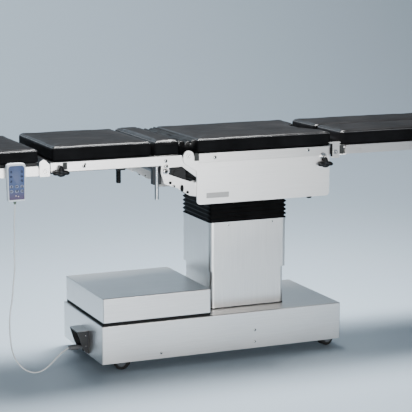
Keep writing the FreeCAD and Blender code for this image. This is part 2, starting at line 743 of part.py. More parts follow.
def make_seat_pins():
    """The pins of the back hinge and of the leg hinges, all fixed to the seat section."""
    back = make_hinge_pin("back_pin", "back_x", "at_back", "side_half", "tube_out - 8")
    leg = make_hinge_pin("leg_pin", "leg_x", "at_leg", "plate_out + 0.3", "seat_out - 14")
    return pin_group("hinge_pins", back, leg)


# Pads

def make_pad(label, outline_points, z="at_pad", tall="pad_tall"):
    """An upholstered pad: plan outline with rounded corners and a soft upper edge."""
    body = new_body(label, "0", "0", z)
    extrude(body, draw(new_sketch(body, "XY"), outline_points), tall)
    soften(body, "9", lambda e: lies_at(e, "z", tall))
    return body


def make_seat_pad():
    """Seat pad with notched corners round the hinge ears and the cut-out at its leg end."""
    half = "pad_wide / 2"
    points = [("seat_left", "-" + half, "10"), ("seat_right", "-" + half, "10"),
              ("seat_right", "-notch_wide / 2", "20"),
              ("seat_right - notch_deep", "-notch_wide / 2 + notch_deep", "45"),
              ("seat_right - notch_deep", "notch_wide / 2 - notch_deep", "45"),
              ("seat_right", "notch_wide / 2", "20"),
              ("seat_right", half, "10"), ("seat_left", half, "10")]
    return make_pad("seat_pad", points)


def make_hinge_web():
    """Soft folding web that bridges the pads over the back hinge."""
    body = new_body("hinge_web", "back_x", "0", "at_pad")
    side = new_sketch(body, "XZ")
    half = "(web_half - 2.4)"
    draw(side, [("-" + half, "0"), ("-" + half, "pad_tall - 1", "4"), (half, "pad_tall - 1", "4"),
                (half, "0"), (half + " - 10", "0"), (half + " - 18", "34"), ("10", "2"), ("0", "38"),
                ("-10", "2"), ("-" + half + " + 18", "34"), ("-" + half + " + 10", "0")])
    extrude(body, side, "pad_wide - 20", both=True)
    return body


# Back section

def make_back_frame():
    """Back frame: side tubes, cross tubes, pad plate, rod guides and the lugs of the head hinge."""
    body = new_body("back_frame", "0", "0", "at_tube")
    left, right = "head_x + 23", "back_x - 30"
    out, inside = "tube_out", "tube_out - tube_wide"
    plan = new_sketch(body, "XY")
    draw(plan, span(left, right, "-" + out, out))
    draw(plan, span(left + " + tube_wide", "back_right - 28", "-%s + tube_wide" % out, inside))
    draw(plan, span("back_right - 2", right + " - 22", "-%s + tube_wide" % out, inside))
    for y in ("-rod_y", "rod_y"):
        draw_circle(plan, "rod_x", y, "rod_r + rod_fit")
    extrude(body, plan, "tube_tall")
    deck = new_sketch(body, "XY", "tube_tall")
    draw(deck, span(left, "back_right - 2", "-" + out, out))
    extrude(body, deck, "deck_thick")
    guides = new_sketch(body, "XY")
    for sign in ("-", ""):
        inner = sign + "(rod_y - 30)"
        outer = sign + "rod_y"
        ends = (inner, outer) if sign == "" else (outer, inner)
        draw(guides, span("rod_x - 14", "rod_x + 22", *ends))
    extrude(body, guides, "guide_tall", back=True)
    groove = new_sketch(body, "XY")
    for y in ("-rod_y", "rod_y"):
        draw_circle(groove, "rod_x", y, "rod_r + rod_fit")
    pocket(body, groove, "guide_tall + 20")
    axis = "at_head - at_tube"
    for low in ("-" + out + " + 1", out + " - 13"):
        lug = new_sketch(body, "XZ", low)
        draw(lug, [(left + " + 20", axis + " - 14"), (left + " + 20", axis + " + 14"),
                   ("head_x", axis + " + 14"), ("head_x - 14", axis + " + 14", "13.5"),
                   ("head_x - 14", axis + " - 14", "13.5"), ("head_x", axis + " - 14")])
        extrude(body, lug, "12")
    holes = new_sketch(body, "XZ")
    draw_circle(holes, "head_x", axis, "pivot_r")
    pocket(body, holes, "2 * tube_out + 4", both=True)
    return body


def make_back_bars():
    """Side bars of the back section."""
    body = loose_body("back_bar", "0", "-tube_out", "at_deck - bar_tall - 2")
    side = new_sketch(body, "XZ")
    draw(side, span("head_x + 22", "back_x - 30", "0", "bar_tall", "2"))
    draw_circle(side, "head_x + 168", "26", "4")
    extrude(body, side, "bar_thick")
    return pair("back_bars", body)


def make_back_arms():
    """Crank plates of the back section with the hinge bores, a window and the drive's mounting holes."""
    body = loose_body("back_arm", "back_x", "-tube_out", "at_back")
    side = new_sketch(body, "XZ")
    draw(side, [("-120", "-33", "6"), ("-121", "-66", "18"), ("-106", "-112", "9"), ("-48", "-132", "30"),
                ("8", "-168", "20"), ("62", "-176", "20"), ("78", "-132", "20"), ("42", "-70", "20"),
                ("20", "-24", "12"), ("18", "19", "15"), ("-18", "19", "15"), ("-26", "-9", "8"),
                ("-29", "-33", "2")])
    draw_circle(side, "0", "0", "pivot_r + pivot_fit")
    draw(side, [("-86", "-44", "5"), ("-88", "-72", "5"), ("-20", "-98", "8"), ("36", "-116", "8"),
                ("40", "-92", "6"), ("-28", "-42", "6")])
    draw(side, span("-41", "-24", "-143", "-110", "8.2"))
    draw_circle(side, "-80", "-108", "4")
    draw_circle(side, "-3", "-152", "4")
    extrude(body, side, "arm_thick")
    boss = new_sketch(body, "XZ", "arm_thick")
    draw_circle(boss, "-102.5", "-58", "17")
    extrude(body, boss, "3")
    return pair("back_arms", body)


def make_back_drive():
    """Gear motor across the back section, between the crank plates."""
    case = round_bar("back_case", "back_x - 42", "-(tube_out - 0.2)", "at_back - 80", "25",
                     "2 * (tube_out - 0.2)", "y")
    gear = block("back_gear", ("back_x - 75", "back_x - 8"), ("-(tube_out - 4)", "-(tube_out - 90)"),
                 ("at_back - 116", "at_back - 48"))
    hub = block("back_gear_far", ("back_x - 60", "back_x - 24"), ("tube_out - 60", "tube_out - 4"),
                ("at_back - 90", "at_back - 52"))
    return keep(joined("back_drive", case, gear, hub), "back_drive")


def make_bridge_carriage():
    """Plate, cross tube and two rods that lift the narrow pad."""
    body = new_body("bridge_carriage", "0", "0", "at_deck")
    plate = new_sketch(body, "XY")
    draw(plate, span("bridge_left + 2", "bridge_right - 2", "-(pad_wide / 2 - 12)", "pad_wide / 2 - 12", "4"))
    extrude(body, plate, "3.4", back=True)
    rods = new_sketch(body, "XY")
    for y in ("-rod_y", "rod_y"):
        draw_circle(rods, "rod_x", y, "rod_r")
    extrude(body, rods, "at_deck - floor_gap - 678", back=True)
    beam = new_sketch(body, "XY")
    draw(beam, span("rod_x - 8", "rod_x + 60", "-(rod_y - 32)", "rod_y - 32", "3"))
    extrude(body, beam, "22", back=True)
    return body


def make_head_pins():
    """The pins that the head section turns on, fixed in the lugs of the back frame."""
    pin = make_hinge_pin("head_pin", "head_x", "at_head", "plate_out + 0.3", "tube_out - 14")
    return pin_group("head_pins", pin)


# Head section

def make_head_frame():
    """Head frame: two side tubes, cross tubes and the pad plate, with bosses for the side bars."""
    body = new_body("head_frame", "0", "0", "at_deck - head_drop - deck_thick - 32")
    left, right = "head_left + 6", "head_x - 30"
    out = "tube_out - 6"
    plan = new_sketch(body, "XY")
    draw(plan, span(left, right, "-(%s)" % out, out, "3"))
    draw(plan, span(left + " + 26", right + " - 26", "-(%s) + tube_wide" % out, out + " - tube_wide", "3"))
    extrude(body, plan, "32")
    deck = new_sketch(body, "XY", "32")
    draw(deck, span(left, right + " + 8", "-(%s)" % out, out, "3"))
    extrude(body, deck, "deck_thick")
    for low in ("-tube_out", out):
        for x in ("head_left + 34", "head_x - 60"):
            boss = new_sketch(body, "XZ", low)
            draw_circle(boss, x, "12", "9")
            extrude(body, boss, "6")
    return body


def make_head_bars():
    """Side bars of the head section with their hinge plates."""
    body = loose_body("head_bar", "0", "-tube_out", "0")
    side = new_sketch(body, "XZ")
    low, top = "at_head - 17", "at_head + 22"
    draw(side, span("head_left + 6", "head_x - 30", low, top, "2"))
    extrude(body, side, "bar_thick")
    tail = new_sketch(body, "XZ")
    draw(tail, [("head_x - 60", "at_head - 12"), ("head_x - 16", "at_head - 12", "8"),
                ("head_x - 16", "at_head + 12", "8"), ("head_x - 60", "at_head + 12")])
    extrude(body, tail, "bar_thick + plate_gap")
    plate = new_sketch(body, "XZ", "bar_thick + plate_gap")
    draw(plate, [("head_x - 27", "at_head - 20", "4"), ("head_x + 16", "at_head - 20", "4"),
                 ("head_x + 16", "at_head + 28", "14"), ("head_x - 8", "at_head + 50", "8"),
                 ("head_x - 27", "at_head + 38", "8")])
    draw_circle(plate, "head_x", "at_head", "pivot_r + pivot_fit")
    extrude(body, plate, "plate_thick")
    return pair("head_bars", body)


# Leg sections

def make_leg_hinge():
    """Hinge plate of one leg section with its top flange and the knuckle of the swing pin."""
    body = new_body("leg_hinge_near", "leg_x", "0", "at_leg")
    plate = new_sketch(body, "XZ", "side_half + plate_gap")
    draw(plate, [("-19", "-27", "9"), ("20", "-27", "4"), ("20", "40"), ("-19", "40")])
    draw_circle(plate, "0", "0", "pivot_r + pivot_fit")
    extrude(body, plate, "plate_thick")
    flange = new_sketch(body, "XZ", "side_half - 2")
    draw(flange, span("-30", "24", "38", "42.5", "1.5"))
    extrude(body, flange, "plate_thick + 5")
    tail = new_sketch(body, "XZ", "tube_out")
    draw(tail, span("12", "20", "-12", "12"))
    extrude(body, tail, "bar_thick + plate_gap")
    arm = new_sketch(body, "XZ", "tube_out")
    draw(arm, span("12", "swing_x - 6", "-12", "12"))
    extrude(body, arm, "bar_thick / 2")
    knuckle = new_sketch(body, "XY", "-12")
    draw(knuckle, [("18", "-tube_out - 1"), ("swing_x", "-tube_out - 1"),
                   ("swing_x + 13", "-tube_out + 4", "6"), ("swing_x + 13", "-tube_out + 30", "11"),
                   ("swing_x - 13", "-tube_out + 30", "11"), ("18", "-tube_out + 16", "6")])
    extrude(body, knuckle, "24")
    pin = new_sketch(body, "XY")
    draw_circle(pin, "swing_x", "-tube_out + 17", "pivot_r")
    extrude(body, pin, "40", both=True)
    return body


def make_leg_frame():
    """Frame of one leg section: outer side bar, tubes, pad plate and the eyes round the swing pin."""
    body = new_body("leg_frame_near", "leg_x", "0", "at_leg")
    low, top = "at_deck - bar_tall - at_leg", "at_deck - at_leg"
    right = "leg_right - leg_x - 6"
    bar = new_sketch(body, "XZ", "tube_out")
    draw(bar, span("leg_start", right, low, top, "2"))
    draw_circle(bar, "128", "6", "4")
    extrude(body, bar, "bar_thick")
    plan = new_sketch(body, "XY", top + " - deck_thick - 36")
    draw(plan, span("leg_start", right, "-tube_out", "-6", "3"))
    draw(plan, span("leg_start + tube_wide", right + " - tube_wide", "-tube_out + 26", "-30", "3"))
    extrude(body, plan, "36")
    deck = new_sketch(body, "XY", top + " - deck_thick")
    draw(deck, [("leg_start", "-tube_out"), (right, "-tube_out"), (right, "-6"), ("swing_x - 8", "-6"),
                ("swing_x - 8", "-tube_out + 34"), ("leg_start", "-tube_out + 34")])
    extrude(body, deck, "deck_thick")
    eye_plan = [("leg_start + 6", "-tube_out + 1"), ("leg_start + 6", "-tube_out + 33"),
                ("swing_x - 4", "-tube_out + 33", "12"), ("swing_x - 13", "-tube_out + 20", "9"),
                ("swing_x - 7", "-tube_out + 4", "9")]
    for gap, downwards in (("-12.4", True), ("12.4", False)):
        eye = new_sketch(body, "XY", gap)
        draw(eye, eye_plan)
        draw_circle(eye, "swing_x", "-tube_out + 17", "pivot_r + pivot_fit")
        extrude(body, eye, "5", back=downwards)
    return body


def make_leg_stop():
    """Black stop between a leg's hinge plate and its side bar."""
    body = new_body("leg_stop_near", "leg_x", "0", "at_leg")
    side = new_sketch(body, "XZ", "tube_out + bar_thick / 2 + 0.3")
    draw(side, span("20.5", "swing_x + 4", "-12", "25", "2"))
    extrude(body, side, "bar_thick / 2 - 0.3")
    return body


def make_leg_pad():
    """Pad of one leg section."""
    points = [("leg_left", "-pad_wide / 2", "12"), ("leg_right", "-pad_wide / 2", "30"),
              ("leg_right", "-2", "12"), ("leg_left", "-2", "6")]
    return make_pad("leg_pad_near", points)


# Knobs and handset

def make_wing_knob(label, x, z, back):
    """Black wing knob on a clamping screw in front of the side bar or panel."""
    body = new_body(label, x, "0", z)
    stem = new_sketch(body, "XZ", back)
    draw_circle(stem, "0", "0", "6")
    extrude(body, stem, "14")
    hub = new_sketch(body, "XZ", back + " + 8")
    draw_circle(hub, "0", "0", "13")
    extrude(body, hub, "knob_out - 8")
    wings = new_sketch(body, "XZ", back + " + 12")
    draw(wings, [("-knob_r", "-1", "6"), ("-knob_r + 4", "-15", "6"), ("-10", "-9"), ("10", "-9"),
                 ("knob_r - 4", "-15", "6"), ("knob_r", "-1", "6"), ("10", "9"), ("-10", "9")])
    extrude(body, wings, "knob_out - 14")
    return body


def make_handset_shell():
    """Back shell of the handset: a slim rounded case."""
    body = new_body("handset_shell", "hand_x", "-face_y", "floor_gap + hand_low")
    front = new_sketch(body, "XZ")
    half = "hand_wide / 2"
    draw(front, [("-%s + 3" % half, "0", "8"), (half + " - 3", "0", "8"), (half, "hand_long", "20"),
                 ("-" + half, "hand_long", "20")])
    extrude(body, front, "hand_thick")
    soften(body, "5", lambda e: lies_at(e, "y", "-hand_thick"))
    return body


def make_handset_face():
    """Soft key mat on the handset's front: one moulded sheet with raised keys."""
    body = new_body("handset_keymat", "hand_x", "-face_y - hand_thick", "floor_gap + hand_low")
    mat = new_sketch(body, "XZ")
    half = "hand_wide / 2"
    draw(mat, [("-%s + 9" % half, "8", "4"), (half + " - 9", "8", "4"),
               (half + " - 7", "hand_long - 10", "10"), ("-%s + 7" % half, "hand_long - 10", "10")])
    extrude(body, mat, "1")
    keys = new_sketch(body, "XZ", "1")
    rows = [(z, ("-22", "22")) for z in ("121", "101", "83")]
    rows += [(z, ("-22", "0", "22")) for z in ("61", "42")]
    for z, places in rows:
        for x in places:
            draw(keys, rectangle("13", "9", "3", x, z))
    extrude(body, keys, "1.2")
    return body


def make_hook():
    """Bent plate that hangs the handset over the head section's side bar."""
    body = new_body("handset_hook", "hand_x", "0", "at_head + 22")
    side = new_sketch(body, "YZ")
    out, inside = "-side_half - 0.3", "-tube_out + 0.3"
    draw(side, [(out + " - hook_thick", "-50", "1"), (out, "-50"), (out, "0.3"), (inside, "0.3"),
                (inside, "-18"), (inside + " + hook_thick", "-18", "1"),
                (inside + " + hook_thick", "0.3 + hook_thick", "3"),
                (out + " - hook_thick", "0.3 + hook_thick", "3")])
    extrude(body, side, "34", both=True)
    return body


# The cord runs from the handset down to the floor and back up to the plug; points in millimetres.
CORD = [(-1025, -270, 745.6), (-1026, -269, 716), (-1029, -266, 668), (-1027, -262, 604), (-1029, -258, 540),
        (-1026, -253, 476), (-1033, -247, 412), (-1036, -240, 350), (-1045, -232, 292), (-1046, -224, 236),
        (-1041, -216, 182), (-1034, -208, 132), (-1016, -198, 88), (-988, -184, 50), (-955, -166, 22),
        (-912, -142, 4.5), (-868, -116, 7), (-830, -92, 24), (-797, -72, 44), (-768, -52, 58),
        (-736, -33.2, 65.5)]


def bent_path(points):
    """Straight runs joined by tangent arcs; gives the wire and the smallest radius."""
    spots = [FreeCAD.Vector(*p) for p in points]
    edges = []
    radii = []
    start = spots[0]
    for before, at, after in zip(spots, spots[1:], spots[2:]):
        way_in, way_out = (at - before).normalize(), (after - at).normalize()
        half_turn = way_in.getAngle(way_out) / 2
        trim = 0.45 * min((at - before).Length, (after - at).Length)
        radius = trim / math.tan(half_turn)
        radii.append(radius)
        first, last = at - way_in * trim, at + way_out * trim
        inward = (way_out - way_in).normalize()
        near = at + inward * (math.hypot(trim, radius) - radius)
        edges.append(Part.LineSegment(start, first).toShape())
        edges.append(Part.Arc(first, near, last).toShape())
        start = last
    edges.append(Part.LineSegment(start, spots[-1]).toShape())
    return Part.Wire(edges), min(radii)


def make_cord():
    """Handset cord as a plain round tube along the bent path."""
    path, tightest = bent_path(CORD)
    radius = amount_of("cord_r")
    way = path.OrderedEdges[0].tangentAt(path.OrderedEdges[0].FirstParameter)
    section = Part.Wire([Part.Circle(FreeCAD.Vector(*CORD[0]), way, radius).toShape()])
    tube = path.makePipeShell([section], True, True)
    thing = doc.addObject("Part::Feature", "handset_cord")
    thing.Shape = tube
    thing.Placement = FreeCAD.Placement(FreeCAD.Vector(0, 0, 0), FreeCAD.Rotation())
    ratio = tube.Volume / (math.pi * radius ** 2 * path.Length)
    print("cord length %.0f, tightest radius %.1f, volume ratio %.4f" % (path.Length, tightest, ratio))
    return keep(thing, "handset_cord")


def make_boot():
    """Tapered strain relief where the cord leaves the handset."""
    body = new_body("cord_boot", "-1025", "-270", "floor_gap + hand_low - boot_tall")
    half = new_sketch(body, "XZ")
    draw(half, [("0", "0"), ("cord_r + 1.5", "0"), ("cord_r + 4.5", "boot_tall"), ("0", "boot_tall")])
    turned(body, half, "Z")
    return body


def make_plug():
    """Round plug in the socket under the hood."""
    reach = round_bar("plug_shell", "-734", "plug_y", "floor_gap + plug_up", "plug_r", "base_left + 734", "x")
    grip = round_bar("plug_grip", "-724", "plug_y", "floor_gap + plug_up", "plug_r + 2.5", "30", "x")
    return keep(joined("cord_plug", reach, grip), "cord_plug")


make_box_cover("base_cover", "base_long", "base_wide", "base_tall", "base_mid", "floor_gap")
make_chassis()
make_seal()
make_box_cover("housing_cover", "house_long", "house_wide", "house_tall", "house_mid", "at_seal_top")
make_control_pack()
make_cable_hood()
make_castor("front_left", "-35", "castor_left", "-castor_half_y")
make_castor("front_right", "12", "castor_right", "-castor_half_y")
make_castor("rear_left", "35", "castor_left", "castor_half_y")
make_castor("rear_right", "-12", "castor_right", "castor_half_y")
make_lift_tube()
make_shell("lower_shell", "shaft_long", "shaft_wide", "shaft_tall", "at_base_top", "column_round")
make_shell("upper_shell", "sleeve_long", "sleeve_wide", "sleeve_tall", "at_sleeve", "column_round + 3")
make_mid_tube()
make_mast()
make_bellows()
make_tilt_cross()
make_drive("pitch_drive", "y")
make_drive("roll_drive", "x")
make_seat_frame()
make_seat_panels()
make_seat_bars()
make_end_blocks("seat_end_blocks", "panel_left - 12", "panel_left + 8", "at_back - 21", "at_back + 10", "5")
make_seat_pins()
make_seat_pad()
make_hinge_web()
make_back_frame()
make_back_bars()
make_back_arms()
make_back_drive()
make_bridge_carriage()
make_pad("bridge_pad", span("bridge_left", "bridge_right", "-pad_wide / 2", "pad_wide / 2", "6"))
make_pad("back_pad", span("back_left", "back_right", "-pad_wide / 2", "pad_wide / 2", "10"))
make_end_blocks("back_end_blocks", "head_x + 73", "head_x + 90", "at_deck - 31", "at_deck - 3", "5")
make_head_pins()
make_head_frame()
make_head_bars()
make_pad("head_pad", span("head_left", "head_right", "-pad_wide / 2", "pad_wide / 2", "12"),
         "at_pad - head_drop", "head_pad_tall")
near_hinge = make_leg_hinge()
near_frame = make_leg_frame()
near_stop = make_leg_stop()
near_pad = make_leg_pad()
mirrored("leg_hinge_far", near_hinge)
mirrored("leg_frame_far", near_frame)
mirrored("leg_stop_far", near_stop)
mirrored("leg_pad_far", near_pad)
head_knob = make_wing_knob("head_knob_near", "-830", "at_head - 4", "side_half")
leg_knob = make_wing_knob("leg_knob_near", "364", "at_leg - 45", "side_half")
mirrored("head_knob_far", head_knob)
mirrored("leg_knob_far", leg_knob)
make_handset_shell()
make_handset_face()
make_hook()
make_cord()
make_boot()
make_plug()
doc.recompute()

os.makedirs("parts", exist_ok=True)
for thing in parts:
    in_error = "Invalid" in thing.State or "Error" in thing.State
    if in_error or thing.Shape.isNull() or not thing.Shape.isValid():
        raise RuntimeError("sub-part %s did not build" % thing.Label)
    thing.Shape.exportStep("parts/" + thing.Label + ".step")
    print("%-24s %2d solids" % (thing.Label, len(thing.Shape.Solids)))
print("%d sub-parts" % len(parts))
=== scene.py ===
import json
import logging
import math
from dataclasses import dataclass, field
from enum import Enum
from typing import Callable, Iterable, Optional, Sequence

import bmesh
import bpy
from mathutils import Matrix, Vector, noise


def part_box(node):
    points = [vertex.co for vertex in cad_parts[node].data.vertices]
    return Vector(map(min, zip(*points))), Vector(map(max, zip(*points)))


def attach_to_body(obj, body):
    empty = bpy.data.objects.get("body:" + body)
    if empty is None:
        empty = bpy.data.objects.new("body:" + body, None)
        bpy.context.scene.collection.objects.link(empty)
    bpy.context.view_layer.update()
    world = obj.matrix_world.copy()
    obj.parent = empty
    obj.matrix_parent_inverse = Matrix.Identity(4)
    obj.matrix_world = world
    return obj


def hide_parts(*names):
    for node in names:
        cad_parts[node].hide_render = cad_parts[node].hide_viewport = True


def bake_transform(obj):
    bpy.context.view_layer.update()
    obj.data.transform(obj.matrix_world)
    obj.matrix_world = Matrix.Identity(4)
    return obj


logging.basicConfig(level=logging.INFO, format="%(message)s")
log = logging.getLogger("operating_table")

Outline = list[tuple[float, float]]
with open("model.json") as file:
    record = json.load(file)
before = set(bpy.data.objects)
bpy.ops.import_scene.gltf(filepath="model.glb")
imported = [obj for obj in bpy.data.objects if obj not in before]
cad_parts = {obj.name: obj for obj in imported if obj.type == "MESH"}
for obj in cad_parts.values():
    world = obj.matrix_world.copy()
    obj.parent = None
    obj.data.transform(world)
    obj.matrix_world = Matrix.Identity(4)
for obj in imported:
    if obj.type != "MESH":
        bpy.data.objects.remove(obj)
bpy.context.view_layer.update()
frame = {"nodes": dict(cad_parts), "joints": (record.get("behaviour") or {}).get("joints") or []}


class Way(Enum):
    """Direction in which a profile is pushed out."""

    X = 0
    Y = 1
    Z = 2


class Brushing(Enum):
    """Direction of the fine scratches on a satin metal sheet."""

    LENGTHWISE = (1.5, 260.0, 260.0)
    UPRIGHT = (260.0, 260.0, 1.5)
    TURNED = (90.0, 90.0, 90.0)


class Side(Enum):
    """Side of the table; the value is the sign along Y."""

    NEAR = -1
    FAR = 1


# Shader node groups

class EffectGroup:
    """Shader node group with named sockets, made once and placed in many materials."""

    def __init__(self, name: str, inputs: dict[str, float], outputs: Sequence[str]) -> None:
        """Make an empty group.

        Args:
            name: name of the group.
            inputs: plain number inputs with their defaults.
            outputs: names of the number outputs.
        """
        self.tree = bpy.data.node_groups.new(name, "ShaderNodeTree")
        for label, value in inputs.items():
            socket = self.tree.interface.new_socket(label, in_out="INPUT", socket_type="NodeSocketFloat")
            socket.default_value = value
        for label in outputs:
            self.tree.interface.new_socket(label, in_out="OUTPUT", socket_type="NodeSocketFloat")
        self.entry = self.tree.nodes.new("NodeGroupInput")
        self.exit = self.tree.nodes.new("NodeGroupOutput")

    def node(self, kind: str, **settings: object) -> bpy.types.Node:
        """Add a node and set its plain properties."""
        made = self.tree.nodes.new(kind)
        for key, value in settings.items():
            setattr(made, key, value)
        return made

    def join(self, start: bpy.types.NodeSocket, end: bpy.types.NodeSocket) -> None:
        """Link two sockets."""
        self.tree.links.new(start, end)

    def math(self, operation: str, first: object, second: object = None,
             third: object = None) -> bpy.types.NodeSocket:
        """Add a Math node fed by sockets or numbers.

        Returns:
            The node's output socket.
        """
        made = self.node("ShaderNodeMath", operation=operation)
        for place, value in enumerate((first, second, third)):
            if isinstance(value, bpy.types.NodeSocket):
                self.join(value, made.inputs[place])
            elif value is not None:
                made.inputs[place].default_value = value
        return made.outputs[0]

    def noise(self, scale: float, detail: float,
              vector: Optional[bpy.types.NodeSocket] = None) -> bpy.types.NodeSocket:
        """Add a Noise texture and give its value socket."""
        made = self.node("ShaderNodeTexNoise")
        made.inputs["Scale"].default_value = scale
        made.inputs["Detail"].default_value = detail
        made.inputs["Roughness"].default_value = 0.6
        self.join(vector or self.node("ShaderNodeTexCoord").outputs["Object"], made.inputs["Vector"])
        return made.outputs["Fac"]


def make_brush_group(brushing: Brushing) -> bpy.types.NodeTree:
    """Long thin scratches in one direction, with slow variation between sheets."""
    group = EffectGroup("brush_" + brushing.name.lower(), {"Contrast": 1.0}, ["Streak", "Cloud"])
    place = group.node("ShaderNodeMapping")
    group.join(group.node("ShaderNodeTexCoord").outputs["Object"], place.inputs["Vector"])
    place.inputs["Scale"].default_value = brushing.value
    fine = group.noise(4.0, 3.0, place.outputs["Vector"])
    centred = group.math("SUBTRACT", fine, 0.5)
    scaled = group.math("MULTIPLY_ADD", centred, group.entry.outputs["Contrast"], 0.5)
    group.join(scaled, group.exit.inputs["Streak"])
    group.join(group.noise(3.0, 2.0), group.exit.inputs["Cloud"])
    return group.tree


def make_wear_group() -> bpy.types.NodeTree:
    """Mask that is high on rounded and rubbed edges."""
    group = EffectGroup("edge_wear", {"Width": 0.002}, ["Mask"])
    bevel = group.node("ShaderNodeBevel", samples=6)
    group.join(group.entry.outputs["Width"], bevel.inputs["Radius"])
    dot = group.node("ShaderNodeVectorMath", operation="DOT_PRODUCT")
    group.join(bevel.outputs["Normal"], dot.inputs[0])
    group.join(group.node("ShaderNodeNewGeometry").outputs["Normal"], dot.inputs[1])
    rise = group.math("SUBTRACT", 1.0, dot.outputs["Value"])
    group.join(group.math("MINIMUM", group.math("MULTIPLY", rise, 4.0), 1.0), group.exit.inputs["Mask"])
    return group.tree


def make_grain_group() -> bpy.types.NodeTree:
    """Leather-like grain of coated cloth: small soft cells with finer noise over them."""
    group = EffectGroup("cloth_grain", {"Cells": 700.0}, ["Height", "Patch"])
    cells = group.node("ShaderNodeTexVoronoi", feature="SMOOTH_F1")
    group.join(group.node("ShaderNodeTexCoord").outputs["Object"], cells.inputs["Vector"])
    group.join(group.entry.outputs["Cells"], cells.inputs["Scale"])
    fine = group.noise(1500.0, 2.0)
    group.join(group.math("MULTIPLY_ADD", fine, 0.35, cells.outputs["Distance"]), group.exit.inputs["Height"])
    group.join(group.noise(9.0, 3.0), group.exit.inputs["Patch"])
    return group.tree


def make_shoulder_group() -> bpy.types.NodeTree:
    """Mask that is high where a surface bends over from lying flat to standing upright."""
    group = EffectGroup("shoulder", {"Amount": 1.0}, ["Mask"])
    split = group.node("ShaderNodeSeparateXYZ")
    group.join(group.node("ShaderNodeTexCoord").outputs["Normal"], split.inputs[0])
    below_flat = group.math("MULTIPLY", group.math("SUBTRACT", 1.0, split.outputs["Z"]), 12.0)
    above_upright = group.math("MULTIPLY", group.math("SUBTRACT", split.outputs["Z"], 0.2), 3.0)
    between = group.math("MINIMUM", below_flat, above_upright)
    held = group.math("MINIMUM", group.math("MAXIMUM", between, 0.0), 1.0)
    group.join(group.math("MULTIPLY", held, group.entry.outputs["Amount"]), group.exit.inputs["Mask"])
    return group.tree


def make_dust_group() -> bpy.types.NodeTree:
    """Faint dust that gathers on faces that look up."""
    group = EffectGroup("dust", {"Amount": 0.3}, ["Mask"])
    split = group.node("ShaderNodeSeparateXYZ")
    group.join(group.node("ShaderNodeNewGeometry").outputs["Normal"], split.inputs[0])
    up = group.math("MAXIMUM", split.outputs["Z"], 0.0)
    patchy = group.math("MULTIPLY", up, group.noise(28.0, 4.0))
    group.join(group.math("MULTIPLY", patchy, group.entry.outputs["Amount"]), group.exit.inputs["Mask"])
    return group.tree


def make_height_group() -> bpy.types.NodeTree:
    """Mask that is low near the floor and rises to one above a given height."""
    group = EffectGroup("height_fade", {"Low": 0.04, "Reach": 0.1}, ["Mask"])
    split = group.node("ShaderNodeSeparateXYZ")
    group.join(group.node("ShaderNodeNewGeometry").outputs["Position"], split.inputs[0])
    above = group.math("SUBTRACT", split.outputs["Z"], group.entry.outputs["Low"])
    share = group.math("DIVIDE", above, group.entry.outputs["Reach"])
    group.join(group.math("MINIMUM", group.math("MAXIMUM", share, 0.0), 1.0), group.exit.inputs["Mask"])
    return group.tree


class Workshop:
    """The shared shader groups, made when they are first asked for."""

    def __init__(self) -> None:
        """Start with no groups."""
        self._made: dict[str, bpy.types.NodeTree] = {}

    def group(self, key: str, maker: Callable[[], bpy.types.NodeTree]) -> bpy.types.NodeTree:
        """The group of this name, made on first use."""
        if key not in self._made:
            self._made[key] = maker()
        return self._made[key]


SHOP = Workshop()


class Coat:
    """One material with a Principled shader and helpers that wire groups into it."""

    def __init__(self, name: str) -> None:
        """Make the material and keep its Principled node."""
        self.material = bpy.data.materials.new(name)
        self.material.use_nodes = True
        self.nodes = self.material.node_tree.nodes
        self.links = self.material.node_tree.links
        self.shader = self.nodes["Principled BSDF"]

    def place(self, tree: bpy.types.NodeTree, **inputs: float) -> bpy.types.Node:
        """Place a shared group and set its inputs."""
        made = self.nodes.new("ShaderNodeGroup")
        made.node_tree = tree
        for key, value in inputs.items():
            made.inputs[key].default_value = value
        return made

    def ramp(self, mask: bpy.types.NodeSocket, low: Sequence[float], high: Sequence[float],
             span: tuple[float, float] = (0.0, 1.0)) -> bpy.types.NodeSocket:
        """Colour between two tones that follows a mask.

        Returns:
            The colour socket.
        """
        made = self.nodes.new("ShaderNodeValToRGB")
        made.color_ramp.elements[0].position, made.color_ramp.elements[1].position = span
        made.color_ramp.elements[0].color = (*low, 1.0)
        made.color_ramp.elements[1].color = (*high, 1.0)
        self.links.new(mask, made.inputs["Fac"])
        return made.outputs["Color"]

    def mix(self, mask: bpy.types.NodeSocket, base: bpy.types.NodeSocket,
            over: Sequence[float]) -> bpy.types.NodeSocket:
        """Lay one flat tone over a colour where a mask is high."""
        made = self.nodes.new("ShaderNodeMix")
        made.data_type = "RGBA"
        self.links.new(mask, made.inputs[0])
        self.links.new(base, made.inputs[6])
        made.inputs[7].default_value = (*over, 1.0)
        return made.outputs[2]

    def spread(self, mask: bpy.types.NodeSocket, low: float, high: float) -> bpy.types.NodeSocket:
        """Number between two values that follows a mask."""
        made = self.nodes.new("ShaderNodeMapRange")
        made.inputs["To Min"].default_value = low
        made.inputs["To Max"].default_value = high
        self.links.new(mask, made.inputs["Value"])
        return made.outputs["Result"]

    def bump(self, height: bpy.types.NodeSocket, strength: float, distance: float) -> None:
        """Feed a height into the shader's normal."""
        made = self.nodes.new("ShaderNodeBump")
        made.inputs["Strength"].default_value = strength
        made.inputs["Distance"].default_value = distance
        self.links.new(height, made.inputs["Height"])
        self.links.new(made.outputs["Normal"], self.shader.inputs["Normal"])

    def feed(self, socket: bpy.types.NodeSocket, name: str) -> None:
        """Link a socket into one of the shader's inputs."""
        self.links.new(socket, self.shader.inputs[name])

    def fixed(self, **values: float) -> None:
        """Set uniform shader inputs; underscores stand for spaces."""
        for key, value in values.items():
            self.shader.inputs[key.replace("_", " ")].default_value = value


